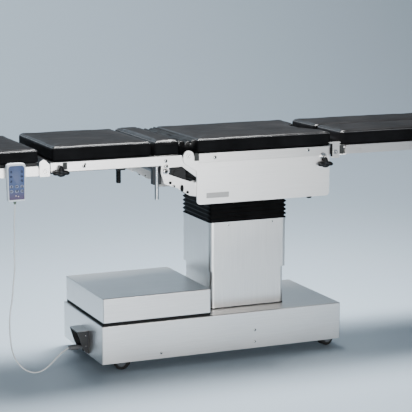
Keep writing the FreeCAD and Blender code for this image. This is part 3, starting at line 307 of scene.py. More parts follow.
@dataclass(frozen=True)
class SatinSteel:
    """Brushed stainless sheet or bar."""

    name: str
    brushing: Brushing
    dark: float = 0.62
    light: float = 0.76
    rough: float = 0.36
    metal: float = 0.8

    def make(self) -> bpy.types.Material:
        """Build the material."""
        coat = Coat(self.name)
        scratches = SHOP.group(self.brushing.name, lambda: make_brush_group(self.brushing))
        brush = coat.place(scratches, Contrast=1.4)
        warm = (1.0, 0.985, 0.965)
        dark = [self.dark * share for share in warm]
        light = [self.light * share for share in warm]
        tone = coat.ramp(brush.outputs["Streak"], dark, light, (0.25, 0.75))
        wear = coat.place(SHOP.group("wear", make_wear_group), Width=0.0025)
        tone = coat.mix(wear.outputs["Mask"], tone, (0.86, 0.85, 0.83))
        dust = coat.place(SHOP.group("dust", make_dust_group), Amount=0.12)
        tone = coat.mix(dust.outputs["Mask"], tone, (0.62, 0.61, 0.59))
        coat.feed(tone, "Base Color")
        coat.feed(coat.spread(brush.outputs["Cloud"], self.rough - 0.06, self.rough + 0.08), "Roughness")
        coat.fixed(Metallic=self.metal)
        coat.bump(brush.outputs["Streak"], 0.10, 0.0004)
        return coat.material


@dataclass(frozen=True)
class CoatedCloth:
    """Black coated cloth of the pads."""

    name: str
    tone: tuple[float, float, float] = (0.006, 0.006, 0.0065)
    rough: float = 0.5
    specular: float = 0.02
    cells: float = 650.0
    shine: float = 0.55

    def make(self) -> bpy.types.Material:
        """Build the material."""
        coat = Coat(self.name)
        grain = coat.place(SHOP.group("grain", make_grain_group), Cells=self.cells)
        lighter = tuple(v * 1.8 + 0.002 for v in self.tone)
        tone = coat.ramp(grain.outputs["Patch"], self.tone, lighter, (0.35, 0.8))
        dust = coat.place(SHOP.group("dust", make_dust_group), Amount=0.02)
        coat.feed(coat.mix(dust.outputs["Mask"], tone, (0.2, 0.2, 0.195)), "Base Color")
        coat.feed(coat.spread(grain.outputs["Patch"], self.rough - 0.06, self.rough + 0.1), "Roughness")
        coat.fixed(Specular_IOR_Level=self.specular, Coat_Roughness=0.24)
        shoulder = coat.place(SHOP.group("shoulder", make_shoulder_group), Amount=self.shine)
        coat.feed(shoulder.outputs["Mask"], "Coat Weight")
        coat.bump(grain.outputs["Height"], 0.22, 0.0004)
        return coat.material


@dataclass(frozen=True)
class Moulding:
    """Plastic, rubber or painted surface of one main tone."""

    name: str
    tone: tuple[float, float, float]
    rough: float = 0.5
    grain: float = 0.12
    worn: float = 1.8
    specular: float = 0.3

    def make(self) -> bpy.types.Material:
        """Build the material."""
        coat = Coat(self.name)
        grain = coat.place(SHOP.group("grain", make_grain_group), Cells=1400.0)
        lighter = tuple(min(1.0, v * 1.25 + 0.003) for v in self.tone)
        tone = coat.ramp(grain.outputs["Patch"], self.tone, lighter, (0.3, 0.8))
        wear = coat.place(SHOP.group("wear", make_wear_group), Width=0.0015)
        tone = coat.mix(wear.outputs["Mask"], tone, tuple(min(1.0, v * self.worn + 0.006) for v in self.tone))
        dust = coat.place(SHOP.group("dust", make_dust_group), Amount=0.06)
        coat.feed(coat.mix(dust.outputs["Mask"], tone, (0.2, 0.2, 0.195)), "Base Color")
        coat.feed(coat.spread(grain.outputs["Patch"], self.rough - 0.06, self.rough + 0.08), "Roughness")
        coat.fixed(Specular_IOR_Level=self.specular)
        coat.bump(grain.outputs["Height"], self.grain, 0.0003)
        return coat.material


@dataclass(frozen=True)
class KeyMat:
    """Soft key mat of the hand control: blue above, turning to violet at its lower end."""

    name: str
    low: float
    reach: float

    def make(self) -> bpy.types.Material:
        """Build the material."""
        coat = Coat(self.name)
        fade = coat.place(SHOP.group("height", make_height_group), Low=self.low, Reach=self.reach)
        tone = coat.ramp(fade.outputs["Mask"], (0.115, 0.085, 0.16), (0.075, 0.115, 0.25), (0.15, 0.9))
        grain = coat.place(SHOP.group("grain", make_grain_group), Cells=1600.0)
        wear = coat.place(SHOP.group("wear", make_wear_group), Width=0.001)
        coat.feed(coat.mix(wear.outputs["Mask"], tone, (0.2, 0.25, 0.38)), "Base Color")
        coat.feed(coat.spread(grain.outputs["Patch"], 0.4, 0.52), "Roughness")
        coat.bump(grain.outputs["Height"], 0.06, 0.0003)
        return coat.material


class Finishes:
    """Every finish of the table, made once each."""

    def __init__(self) -> None:
        """Build all materials."""
        mat_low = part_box("handset_keymat")[0].z
        self.cover = SatinSteel("steel_cover", Brushing.LENGTHWISE, 0.66, 0.78, 0.3, 0.95).make()
        self.column = SatinSteel("steel_column", Brushing.UPRIGHT, 0.70, 0.82, 0.3, 0.95).make()
        self.panel = SatinSteel("steel_panel", Brushing.LENGTHWISE, 0.86, 0.96, 0.36, 0.8).make()
        self.bar = SatinSteel("steel_bar", Brushing.LENGTHWISE, 0.70, 0.84, 0.32, 0.85).make()
        self.turned = SatinSteel("steel_turned", Brushing.TURNED, 0.66, 0.76, 0.2, 1.0).make()
        self.chrome = SatinSteel("steel_rod", Brushing.UPRIGHT, 0.74, 0.80, 0.12, 1.0).make()
        self.plate = SatinSteel("steel_plate", Brushing.LENGTHWISE, 0.34, 0.42, 0.4).make()
        self.cloth = CoatedCloth("coated_cloth").make()
        self.web = CoatedCloth("coated_web", (0.002, 0.002, 0.0022), 0.5, 0.03, shine=0.4).make()
        # Cord paler than the pad cloth: painted highlight along the pads' top edges.
        self.seam = CoatedCloth("welt_highlight_cord", (0.05, 0.05, 0.052), 0.3, 0.3, 1100.0).make()
        self.bellows = Moulding("bellows_rubber", (0.0015, 0.0015, 0.0016), 0.45, specular=0.05,
                                worn=1.2).make()
        self.black = Moulding("black_plastic", (0.004, 0.004, 0.0045), 0.35, specular=0.25, worn=1.3).make()
        self.frame = Moulding("frame_paint", (0.020, 0.021, 0.023), 0.45).make()
        self.seal = Moulding("seal_rubber", (0.006, 0.006, 0.006), 0.6, specular=0.15).make()
        self.tread = Moulding("castor_tread", (0.012, 0.012, 0.012), 0.6).make()
        self.hub = Moulding("castor_hub", (0.09, 0.10, 0.11), 0.45).make()
        self.block = Moulding("end_block", (0.045, 0.047, 0.044), 0.5, specular=0.2).make()
        self.hood = Moulding("hood_paint", (0.045, 0.046, 0.047), 0.35).make()
        self.plug = Moulding("plug_plastic", (0.13, 0.135, 0.14), 0.4, 0.06).make()
        self.cord = Moulding("cord_rubber", (0.74, 0.76, 0.76), 0.42, 0.05, 1.1).make()
        self.boot = Moulding("strain_relief", (0.10, 0.13, 0.09), 0.5, 0.05, 1.3).make()
        self.shell = Moulding("control_shell", (0.72, 0.76, 0.82), 0.32, 0.06, 1.1).make()
        self.key = Moulding("key_cap", (0.30, 0.33, 0.45), 0.4, 0.04, 1.2).make()
        self.ink = Moulding("key_mark", (0.012, 0.014, 0.022), 0.45, 0.02, 1.2).make()
        self.lamp = Moulding("key_spot", (0.62, 0.5, 0.5), 0.35, 0.02, 1.1).make()
        self.mat = KeyMat("control_mat", mat_low, 0.05).make()


# Mesh building

class Form:
    """A mesh under construction that several shapes can be added to."""

    def __init__(self) -> None:
        """Start empty."""
        self.mesh = bmesh.new()

    def loft(self, rings: Sequence[Sequence[Vector]], cap: bool = True, closed: bool = False) -> "Form":
        """Skin a surface through rings of equal length.

        Args:
            rings: loops of points.
            cap: close both ends with a face.
            closed: join the last ring to the first one.
        """
        rows = [[self.mesh.verts.new(p) for p in ring] for ring in rings]
        count = len(rows[0])
        pairs = list(zip(rows, rows[1:])) + ([(rows[-1], rows[0])] if closed else [])
        for low, high in pairs:
            for i in range(count):
                self.mesh.faces.new((low[i], low[(i + 1) % count], high[(i + 1) % count], high[i]))
        if cap and not closed:
            self.mesh.faces.new(list(reversed(rows[0])))
            self.mesh.faces.new(rows[-1])
        return self

    def turned(self, profile: Outline, centre: Vector, axis: Vector, sides: int = 28,
               hollow: bool = False) -> "Form":
        """Turn a profile of (distance along the axis, radius) about an axis.

        Args:
            profile: the outline that is turned.
            centre: where distance 0 lies.
            axis: unit vector along the axis.
            sides: number of faces round the axis.
            hollow: the profile closes on itself round an open bore.
        """
        side = axis.orthogonal().normalized()
        other = axis.cross(side)
        rings = []
        for along, radius in profile:
            middle = centre + axis * along
            rings.append([middle + (side * math.cos(a) + other * math.sin(a)) * max(radius, 1e-5)
                          for a in (2 * math.pi * i / sides for i in range(sides))])
        return self.loft(rings, closed=hollow)

    def pushed(self, outline: Outline, way: Way, start: float, end: float) -> "Form":
        """Push a flat outline out along one axis; its two numbers are the other two axes in order."""
        axes = [i for i in range(3) if i != way.value]
        rings = []
        for depth in (start, end):
            ring = []
            for first, second in outline:
                point = [0.0, 0.0, 0.0]
                point[way.value], point[axes[0]], point[axes[1]] = depth, first, second
                ring.append(Vector(point))
            rings.append(ring)
        return self.loft(rings)

    def block(self, low: Sequence[float], high: Sequence[float], radius: float = 0.0) -> "Form":
        """Box between two corners; its corners seen along Y can be rounded."""
        outline = box_outline(low[0], high[0], low[2], high[2], radius)
        return self.pushed(outline, Way.Y, low[1], high[1])

    def tube(self, points: Sequence[Vector], radius: float, sides: int = 8, closed: bool = False) -> "Form":
        """Round tube through points."""
        rings = []
        count = len(points)
        for i, point in enumerate(points):
            after = points[(i + 1) % count] if closed else points[min(i + 1, count - 1)]
            before = points[i - 1] if closed or i else points[0]
            along = (after - before).normalized()
            up = Vector((0.0, 0.0, 1.0)) if abs(along.z) < 0.9 else Vector((1.0, 0.0, 0.0))
            side = along.cross(up).normalized()
            other = side.cross(along)
            rings.append([point + (side * math.cos(a) + other * math.sin(a)) * radius
                          for a in (2 * math.pi * s / sides for s in range(sides))])
        return self.loft(rings, closed=closed)

    def piece(self, name: str, finish: bpy.types.Material, bevel: float = 0.0,
              smooth: bool = True) -> bpy.types.Object:
        """Turn the mesh into a linked object.

        Args:
            name: object name.
            finish: material for all faces.
            bevel: width of rounded edges, or nothing.
            smooth: shade faces smooth.

        Returns:
            The new object.
        """
        bmesh.ops.recalc_face_normals(self.mesh, faces=self.mesh.faces[:])
        data = bpy.data.meshes.new(name)
        self.mesh.to_mesh(data)
        self.mesh.free()
        data.materials.append(finish)
        for face in data.polygons:
            face.use_smooth = smooth
        made = bpy.data.objects.new(name, data)
        bpy.context.scene.collection.objects.link(made)
        if bevel:
            rounding = made.modifiers.new("round", "BEVEL")
            rounding.width = bevel
            rounding.segments = 3
            rounding.limit_method = "ANGLE"
            rounding.angle_limit = math.radians(35)
            made.modifiers.new("normals", "WEIGHTED_NORMAL")
        return made


def rounded(corners: Sequence[tuple[float, float, float]], steps: int = 6) -> Outline:
    """Outline through corners (x, y, radius) with each corner rounded off."""
    points: Outline = []
    count = len(corners)
    for i, (x, y, radius) in enumerate(corners):
        spot = Vector((x, y))
        before = (Vector(corners[i - 1][:2]) - spot).normalized()
        after = (Vector(corners[(i + 1) % count][:2]) - spot).normalized()
        if radius <= 0:
            points.append((x, y))
            continue
        half = before.angle(after) / 2
        reach = radius / math.tan(half)
        middle = spot + (before + after).normalized() * (radius / math.sin(half))
        first, last = spot + before * reach - middle, spot + after * reach - middle
        turn = first.angle_signed(last)
        for step in range(steps + 1):
            angle = turn * step / steps
            c, s = math.cos(angle), math.sin(angle)
            points.append((middle.x + first.x * c + first.y * s, middle.y - first.x * s + first.y * c))
    return points


def box_outline(x0: float, x1: float, y0: float, y1: float, radius: float = 0.0, steps: int = 6) -> Outline:
    """Rounded rectangle between two corners."""
    return rounded([(x0, y0, radius), (x1, y0, radius), (x1, y1, radius), (x0, y1, radius)], steps)


def ellipse(x: float, y: float, wide: float, tall: float, lean: float = 0.0, steps: int = 20) -> Outline:
    """Ellipse about a point, leaned over by an angle in degrees."""
    c, s = math.cos(math.radians(lean)), math.sin(math.radians(lean))
    points = []
    for step in range(steps):
        angle = 2 * math.pi * step / steps
        u, v = wide / 2 * math.cos(angle), tall / 2 * math.sin(angle)
        points.append((x + u * c - v * s, y + u * s + v * c))
    return points


def offset_inward(outline: Outline, amount: float) -> Outline:
    """Move each point of a counter-clockwise outline inward along its corner bisector."""
    count = len(outline)
    moved: Outline = []
    for i in range(count):
        here = Vector(outline[i])
        before, after = here - Vector(outline[i - 1]), Vector(outline[(i + 1) % count]) - here
        normals = [Vector((-v.y, v.x)).normalized() for v in (before, after) if v.length > 1e-9]
        lean = sum(normals, Vector((0.0, 0.0)))
        lean = lean.normalized() if lean.length > 1e-9 else Vector((0.0, 0.0))
        scale = 1 / max(0.4, lean.dot(normals[0])) if normals else 1.0
        moved.append(tuple(here + lean * amount * scale))
    return moved


def refined(outline: Outline, pitch: float) -> Outline:
    """The same outline with points added along its long edges."""
    points: Outline = []
    for i, point in enumerate(outline):
        here, after = Vector(point), Vector(outline[(i + 1) % len(outline)])
        pieces = max(1, round((after - here).length / pitch))
        points += [tuple(here.lerp(after, step / pieces)) for step in range(pieces)]
    return points


def attach(piece: bpy.types.Object, body: str, slot: str, *stands_for: str) -> bpy.types.Object:
    """Let a piece move with a body and hide the nodes that it stands for."""
    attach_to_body(piece, body)
    if stands_for:
        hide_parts(*stands_for)
    return piece


def dress(finish: bpy.types.Material, nodes: Iterable[str]) -> None:
    """Give carried-over CAD nodes one finish."""
    for name in nodes:
        node = frame["nodes"][name]
        node.data.materials.clear()
        node.data.materials.append(finish)


@dataclass
class Screws:
    """Like screws with low rounded heads and a black disc on each, set on one face; the disc is painted shade
    standing in for the dark socket recess.
    """

    name: str
    body: str
    out: Vector
    spots: Sequence[tuple[float, float, float]]
    radius: float

    def build(self, finishes: Finishes) -> None:
        """Turn the heads and the black discs on them, which are painted shade of their socket recesses."""
        r = self.radius
        tall = r * 0.42
        head = [(-0.0006, r), (tall * 0.35, r), (tall * 0.8, r * 0.86), (tall, r * 0.68), (tall, r * 0.5)]
        # Black disc over the head's top: painted shade of the socket recess.
        socket = [(tall * 0.99, r * 0.62), (tall * 1.03, r * 0.58), (tall * 1.03, 0.0)]
        heads, socket_shades = Form(), Form()
        for spot in self.spots:
            heads.turned(head, Vector(spot), self.out, 18)
            socket_shades.turned(socket, Vector(spot), self.out, 6)
        attach(heads.piece(self.name, finishes.turned), self.body, "steel_satin")
        attach(socket_shades.piece(self.name + "_sockets", finishes.black), self.body, "plastic_black")


# Camera, floor and lights

@dataclass
class Studio:
    """Camera at the photograph's angle over a pale floor in soft light."""

    eye: Vector = field(default_factory=lambda: Vector((-2.6969, -6.0830, 1.7898)))
    look: Vector = field(default_factory=lambda: Vector((0.38899, 0.90496, -0.17244)))
    lens: float = 133.87

    def build(self) -> None:
        """Make the camera, the floor sweep and the lights."""
        self._camera()
        self._floor()
        self._lights()
        log.info("studio ready")

    def _camera(self) -> None:
        """Camera without shift or blur."""
        data = bpy.data.cameras.new("view")
        data.lens = self.lens
        data.clip_end = 60.0
        camera = bpy.data.objects.new("view", data)
        camera.location = self.eye
        camera.rotation_mode = "QUATERNION"
        camera.rotation_quaternion = self.look.to_track_quat("-Z", "Y")
        bpy.context.scene.collection.objects.link(camera)
        bpy.context.scene.camera = camera

    def _floor(self) -> None:
        """Floor that curves up into a backdrop far behind the table."""
        profile = [(-14.0, 0.0), (7.0, 0.0)]
        for step in range(1, 13):
            angle = math.pi / 2 * step / 12
            profile.append((7.0 + 4.0 * math.sin(angle), 4.0 * (1 - math.cos(angle))))
        profile.append((11.0, 16.0))
        form = Form()
        rows = [[form.mesh.verts.new((x, y, z)) for x in (-22.0, 22.0)] for y, z in profile]
        for low, high in zip(rows, rows[1:]):
            form.mesh.faces.new((low[0], low[1], high[1], high[0]))
        coat = Coat("studio_floor")
        patch = coat.place(SHOP.group("dust", make_dust_group), Amount=0.04)
        coat.feed(coat.ramp(patch.outputs["Mask"], (0.41, 0.505, 0.59), (0.44, 0.535, 0.62)), "Base Color")
        coat.fixed(Roughness=0.5, Specular_IOR_Level=0.3)
        form.piece("floor", coat.material)

    def _lights(self) -> None:
        """Large soft boxes and a pale surround."""
        world = bpy.data.worlds.new("surround")
        world.use_nodes = True
        world.node_tree.nodes["Background"].inputs[0].default_value = (0.97, 0.98, 1.0, 1.0)
        world.node_tree.nodes["Background"].inputs[1].default_value = 0.09
        bpy.context.scene.world = world
        self._softbox("front", (-0.6, -5.6, 0.75), (0.1, 0.0, 0.5), (5.4, 0.9), 235.0)
        self._softbox("front_floor", (-0.4, -2.8, 3.4), (-0.2, -2.6, 0.0), (4.0, 1.2), 8.0)
        self._softbox("top", (0.0, 0.6, 3.2), (0.1, 0.1, 0.5), (2.6, 0.9), 350.0)
        self._softbox("backdrop", (0.0, 4.0, 6.0), (1.0, 11.0, 2.6), (9.0, 3.0), 900.0)

    def _softbox(self, name: str, spot: Sequence[float], aim: Sequence[float], size: tuple[float, float],
                 power: float) -> None:
        """One rectangular area light turned towards a point."""
        data = bpy.data.lights.new(name, "AREA")
        data.shape = "RECTANGLE"
        data.size, data.size_y = size
        data.energy = power
        lamp = bpy.data.objects.new(name, data)
        lamp.location = spot
        lamp.rotation_mode = "QUATERNION"
        lamp.rotation_quaternion = (Vector(aim) - Vector(spot)).to_track_quat("-Z", "Y")
        bpy.context.scene.collection.objects.link(lamp)


# Soft goods

class ClothRun:
    """One short cloth simulation for all cushions: pressure swells the covers, and the movement is capped."""

    FRAMES = 20
    CAP = 0.0035

    def __init__(self) -> None:
        """Start with no covers."""
        self._covers: list[bpy.types.Object] = []

    def add(self, cover: bpy.types.Object, low: float) -> None:
        """Take in a cover; its underside is held."""
        held = cover.vertex_groups.new(name="held")
        held.add([v.index for v in cover.data.vertices if v.co.z < low + 0.006], 1.0, "REPLACE")
        cloth = cover.modifiers.new("cloth", "CLOTH")
        cloth.settings.use_pressure = True
        cloth.settings.uniform_pressure_force = 4.0
        cloth.settings.effector_weights.gravity = 0.0
        cloth.settings.vertex_group_mass = held.name
        cloth.settings.quality = 4
        cloth.settings.tension_stiffness = 12.0
        cloth.settings.compression_stiffness = 12.0
        cloth.collision_settings.use_collision = False
        cloth.point_cache.frame_end = self.FRAMES
        self._covers.append(cover)

    def run(self) -> None:
        """Step the simulation and keep the capped result in each mesh."""
        scene = bpy.context.scene
        for step in range(1, self.FRAMES + 1):
            scene.frame_set(step)
        graph = bpy.context.evaluated_depsgraph_get()
        for cover in self._covers:
            moved = [v.co.copy() for v in cover.evaluated_get(graph).data.vertices]
            for vertex, target in zip(cover.data.vertices, moved):
                shift = target - vertex.co
                if shift.length > self.CAP:
                    shift = shift.normalized() * self.CAP
                vertex.co = vertex.co + shift
            cover.modifiers.remove(cover.modifiers["cloth"])
        scene.frame_set(1)
        log.info("cloth settled on %d covers", len(self._covers))


@dataclass
class Cushion:
    """Upholstered foam pad: a crowned slab with drawn-in sides and a sewn welt below its top edge, whose
    paler cord is a painted highlight along that edge.
    """

    name: str
    node: str
    body: str
    corners: Sequence[tuple[float, float, float]]
    low: float
    top: float
    crown: float = 0.0028
    roll: float = 0.010
    voxel: float = 0.009

    def cover(self, finish: bpy.types.Material) -> bpy.types.Object:
        """Make the closed cover on an even grid.

        Args:
            finish: cloth of the cover.

        Returns:
            The cover, ready for the cloth run.
        """
        base = refined(rounded(self.corners, 6), 0.03)
        form = Form()
        form.loft([[Vector((x, y, height)) for x, y in offset_inward(base, inset)]
                   for inset, height in self._section()])
        piece = form.piece(self.name, finish)
        remesh = piece.modifiers.new("grid", "REMESH")
        remesh.mode = "VOXEL"
        remesh.voxel_size = self.voxel
        graph = bpy.context.evaluated_depsgraph_get()
        even = bpy.data.meshes.new_from_object(piece.evaluated_get(graph))
        piece.modifiers.remove(remesh)
        piece.data = even
        self._crown(piece)
        for face in even.polygons:
            face.use_smooth = True
        return piece

    def finish(self, piece: bpy.types.Object, cloth: bpy.types.Material, cord: bpy.types.Material) -> None:
        smooth = piece.modifiers.new("smooth", "SUBSURF")
        smooth.levels = smooth.render_levels = 1
        piece.data.materials.clear()
        piece.data.materials.append(cloth)
        attach(piece, self.body, "upholstery", self.node)
        # Welt in a cord paler than the cloth: painted highlight along the top edge.
        seam = self._seam(piece)
        attach(seam.piece(self.name + "_seam", cord), self.body, "upholstery")

    def _section(self) -> list[tuple[float, float]]:
        """Side section of the cover as (inset, height)."""
        rows = [(0.007, self.low), (0.0015, self.low + 0.004), (0.0, self.low + 0.010)]
        start = self.top - self.roll
        for step in range(0, 6):
            angle = math.pi / 2 * step / 5
            rows.append((self.roll * (1 - math.cos(angle)), start + self.roll * math.sin(angle)))
        return rows

    def _crown(self, piece: bpy.types.Object) -> None:
        """Raise the middle of the top a little and draw the sides in between the corners."""
        xs = [c[0] for c in self.corners]
        ys = [c[1] for c in self.corners]
        mid_x, mid_y = (min(xs) + max(xs)) / 2, (min(ys) + max(ys)) / 2
        half_x, half_y = (max(xs) - min(xs)) / 2, (max(ys) - min(ys)) / 2
        tall = self.top - self.low
        for vertex in piece.data.vertices:
            u = min(1.0, abs(vertex.co.x - mid_x) / half_x)
            v = min(1.0, abs(vertex.co.y - mid_y) / half_y)
            high = max(0.0, (vertex.co.z - self.low) / tall)
            hill = (1 - u ** 3) * (1 - v ** 3)
            ripple = noise.noise(vertex.co * 22.0) * 0.0007 + noise.noise(vertex.co * 60.0) * 0.0003
            vertex.co.z += high ** 3 * (self.crown * hill + ripple)
            belly = math.sin(math.pi * min(1.0, high)) * 0.0016
            vertex.co.x += math.copysign(belly, vertex.co.x - mid_x) * (0.5 - v ** 4) * (u > 0.97)
            vertex.co.y += math.copysign(belly, vertex.co.y - mid_y) * (0.5 - u ** 4) * (v > 0.97)

    def _seam(self, piece: bpy.types.Object) -> Form:
        """Sewn welt round the cover's top edge, laid on its surface; its cord, paler than the cloth, is a
        painted highlight along that edge.
        """
        form = Form()
        points = []
        for x, y in offset_inward(refined(rounded(self.corners, 5), 0.02), 0.002):
            found, spot, normal, _ = piece.closest_point_on_mesh(Vector((x, y, self.top - 0.0035)))
            points.append(spot + normal * 0.0003 if found else Vector((x, y, self.top)))
        return form.tube(points, 0.0014, 8, closed=True)


@dataclass
class Upholstery:
    """All pads and the folding web over the back hinge."""

    SKIN = 0.0008

    finishes: Finishes

    def build(self) -> None:
        """Build the covers, settle them and lay on their welts, whose paler cord is a painted highlight of
        the top edges.
        """
        plain = (("head_pad", "head", 0.020), ("back_pad", "back", 0.014), ("bridge_pad", "bridge", 0.008),
                 ("leg_pad_near", "leg_near", 0.020), ("leg_pad_far", "leg_far", 0.020))
        cushions = [self._plain(*row) for row in plain]
        cushions.append(self._seat())
        covers = [cushion.cover(self.finishes.cloth) for cushion in cushions]
        run = ClothRun()
        for cushion, cover in zip(cushions, covers):
            run.add(cover, cushion.low)
        run.run()
        for cushion, cover in zip(cushions, covers):
            cushion.finish(cover, self.finishes.cloth, self.finishes.seam)
        self._web()
        log.info("upholstery ready")

    def _plain(self, node: str, body: str, radius: float) -> Cushion:
        """A four-cornered pad over a CAD pad."""
        low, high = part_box(node)
        x0, x1, y0, y1 = low.x + self.SKIN, high.x - self.SKIN, low.y + self.SKIN, high.y - self.SKIN
        corners = [(x0, y0, radius), (x1, y0, radius), (x1, y1, radius), (x0, y1, radius)]
        return Cushion("cushion_" + node, node, body, corners, low.z, high.z - 0.001)

    def _seat(self) -> Cushion:
        """Seat pad with its rounded cut-out at the leg end."""
        low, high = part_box("seat_pad")
        deep, half = 0.050, 0.125
        x0, x1, y0, y1 = low.x + self.SKIN, high.x - self.SKIN, low.y + self.SKIN, high.y - self.SKIN
        corners = [(x0, y0, 0.014), (x1, y0, 0.014), (x1, -half, 0.020), (x1 - deep, -half + deep, 0.045),
                   (x1 - deep, half - deep, 0.045), (x1, half, 0.020), (x1, y1, 0.014), (x0, y1, 0.014)]
        return Cushion("cushion_seat_pad", "seat_pad", "seat", corners, low.z, high.z - 0.001)

    def _web(self) -> None:
        """Crumpled folding web: three loose folds across the hinge, closed at both ends."""
        low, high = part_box("hinge_web")
        form = Form()
        rings = []
        rows = 46
        for row in range(rows + 1):
            y = low.y + (high.y - low.y) * row / rows
            rings.append([Vector((x, y, z)) for x, z in self._web_section(low, high, y)])
        form.loft(rings)
        web = form.piece("hinge_web_folds", self.finishes.web)
        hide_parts("hinge_web")
        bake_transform(web)

    def _web_section(self, low: Vector, high: Vector, y: float) -> Outline:
        """Closed section of the web at one place along Y."""
        wide = high.x - low.x
        steps = 26
        points: Outline = [(high.x - 0.001, low.z + 0.001), (low.x + 0.001, low.z + 0.001)]
        for step in range(steps + 1):
            u = step / steps
            fold = abs(math.sin(3 * math.pi * u + 0.35 * math.sin(y * 9.0)))
            edge = min(1.0, 8 * u, 8 * (1 - u))
            crease = noise.noise(Vector((u * 5.0, y * 16.0, 0.3))) * 0.006
            drop = (0.006 + 0.016 * (1 - fold) ** 2 + crease) * edge + 0.002
            points.append((low.x + wide * u, high.z - drop))
        return points


@dataclass
class Bellows:
    """Pleated rubber bellows in three lengths."""

    finishes: Finishes
    pleats: int = 15

    def build(self) -> None:
        """Pleat the three lengths."""
        low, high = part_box("bellows")
        self.low, self.high = low, high
        self.outline = refined(box_outline(low.x, high.x, low.y, high.y, 0.014, 3), 0.03)
        self.pitch = (high.z - low.z) / self.pleats
        split_low = low.z + 7 * self.pitch
        split_high = low.z + 12 * self.pitch
        self._length("bellows_lift", low.z, split_low)
        self._length("bellows_pitch", split_low, split_high)
        self._length("bellows_roll", split_high, high.z)
        log.info("bellows ready")

    def _length(self, name: str, start: float, end: float) -> None:
        """One stretch of pleats between two heights."""
        form = Form()
        count = round((end - start) / self.pitch)
        shape = ((0.0, 0.0), (0.12, 0.0006), (0.5, 0.0098), (0.88, 0.0006))
        rings = []
        for pleat in range(count):
            rings += [self._ring(start + (pleat + share) * self.pitch, inset) for share, inset in shape]
        rings.append(self._ring(end, 0.0))
        inner = [self._ring(end, 0.0125), self._ring(start, 0.0125)]
        form.loft(rings + inner, closed=True)
        piece = form.piece(name, self.finishes.bellows)
        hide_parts("bellows")
        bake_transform(piece)

    def _ring(self, height: float, inset: float) -> list[Vector]:
        """Rounded rectangle at one height, sagging a little between its corners."""
        outline = offset_inward(self.outline, inset)
        ends = (self.low.z + 0.004, self.high.z - 0.004)
        loose = 0.0016 if ends[0] < height < ends[1] else 0.0
        return [Vector((x, y, height + loose * noise.noise(Vector((x * 9, y * 9, height * 40)))))
                for x, y in outline]


# Sub-assemblies

# Outer faces of the side bars with the side panels, and of the base cover, from the table's middle
SIDE_FACE = 0.254
BASE_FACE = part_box("base_cover")[1].y


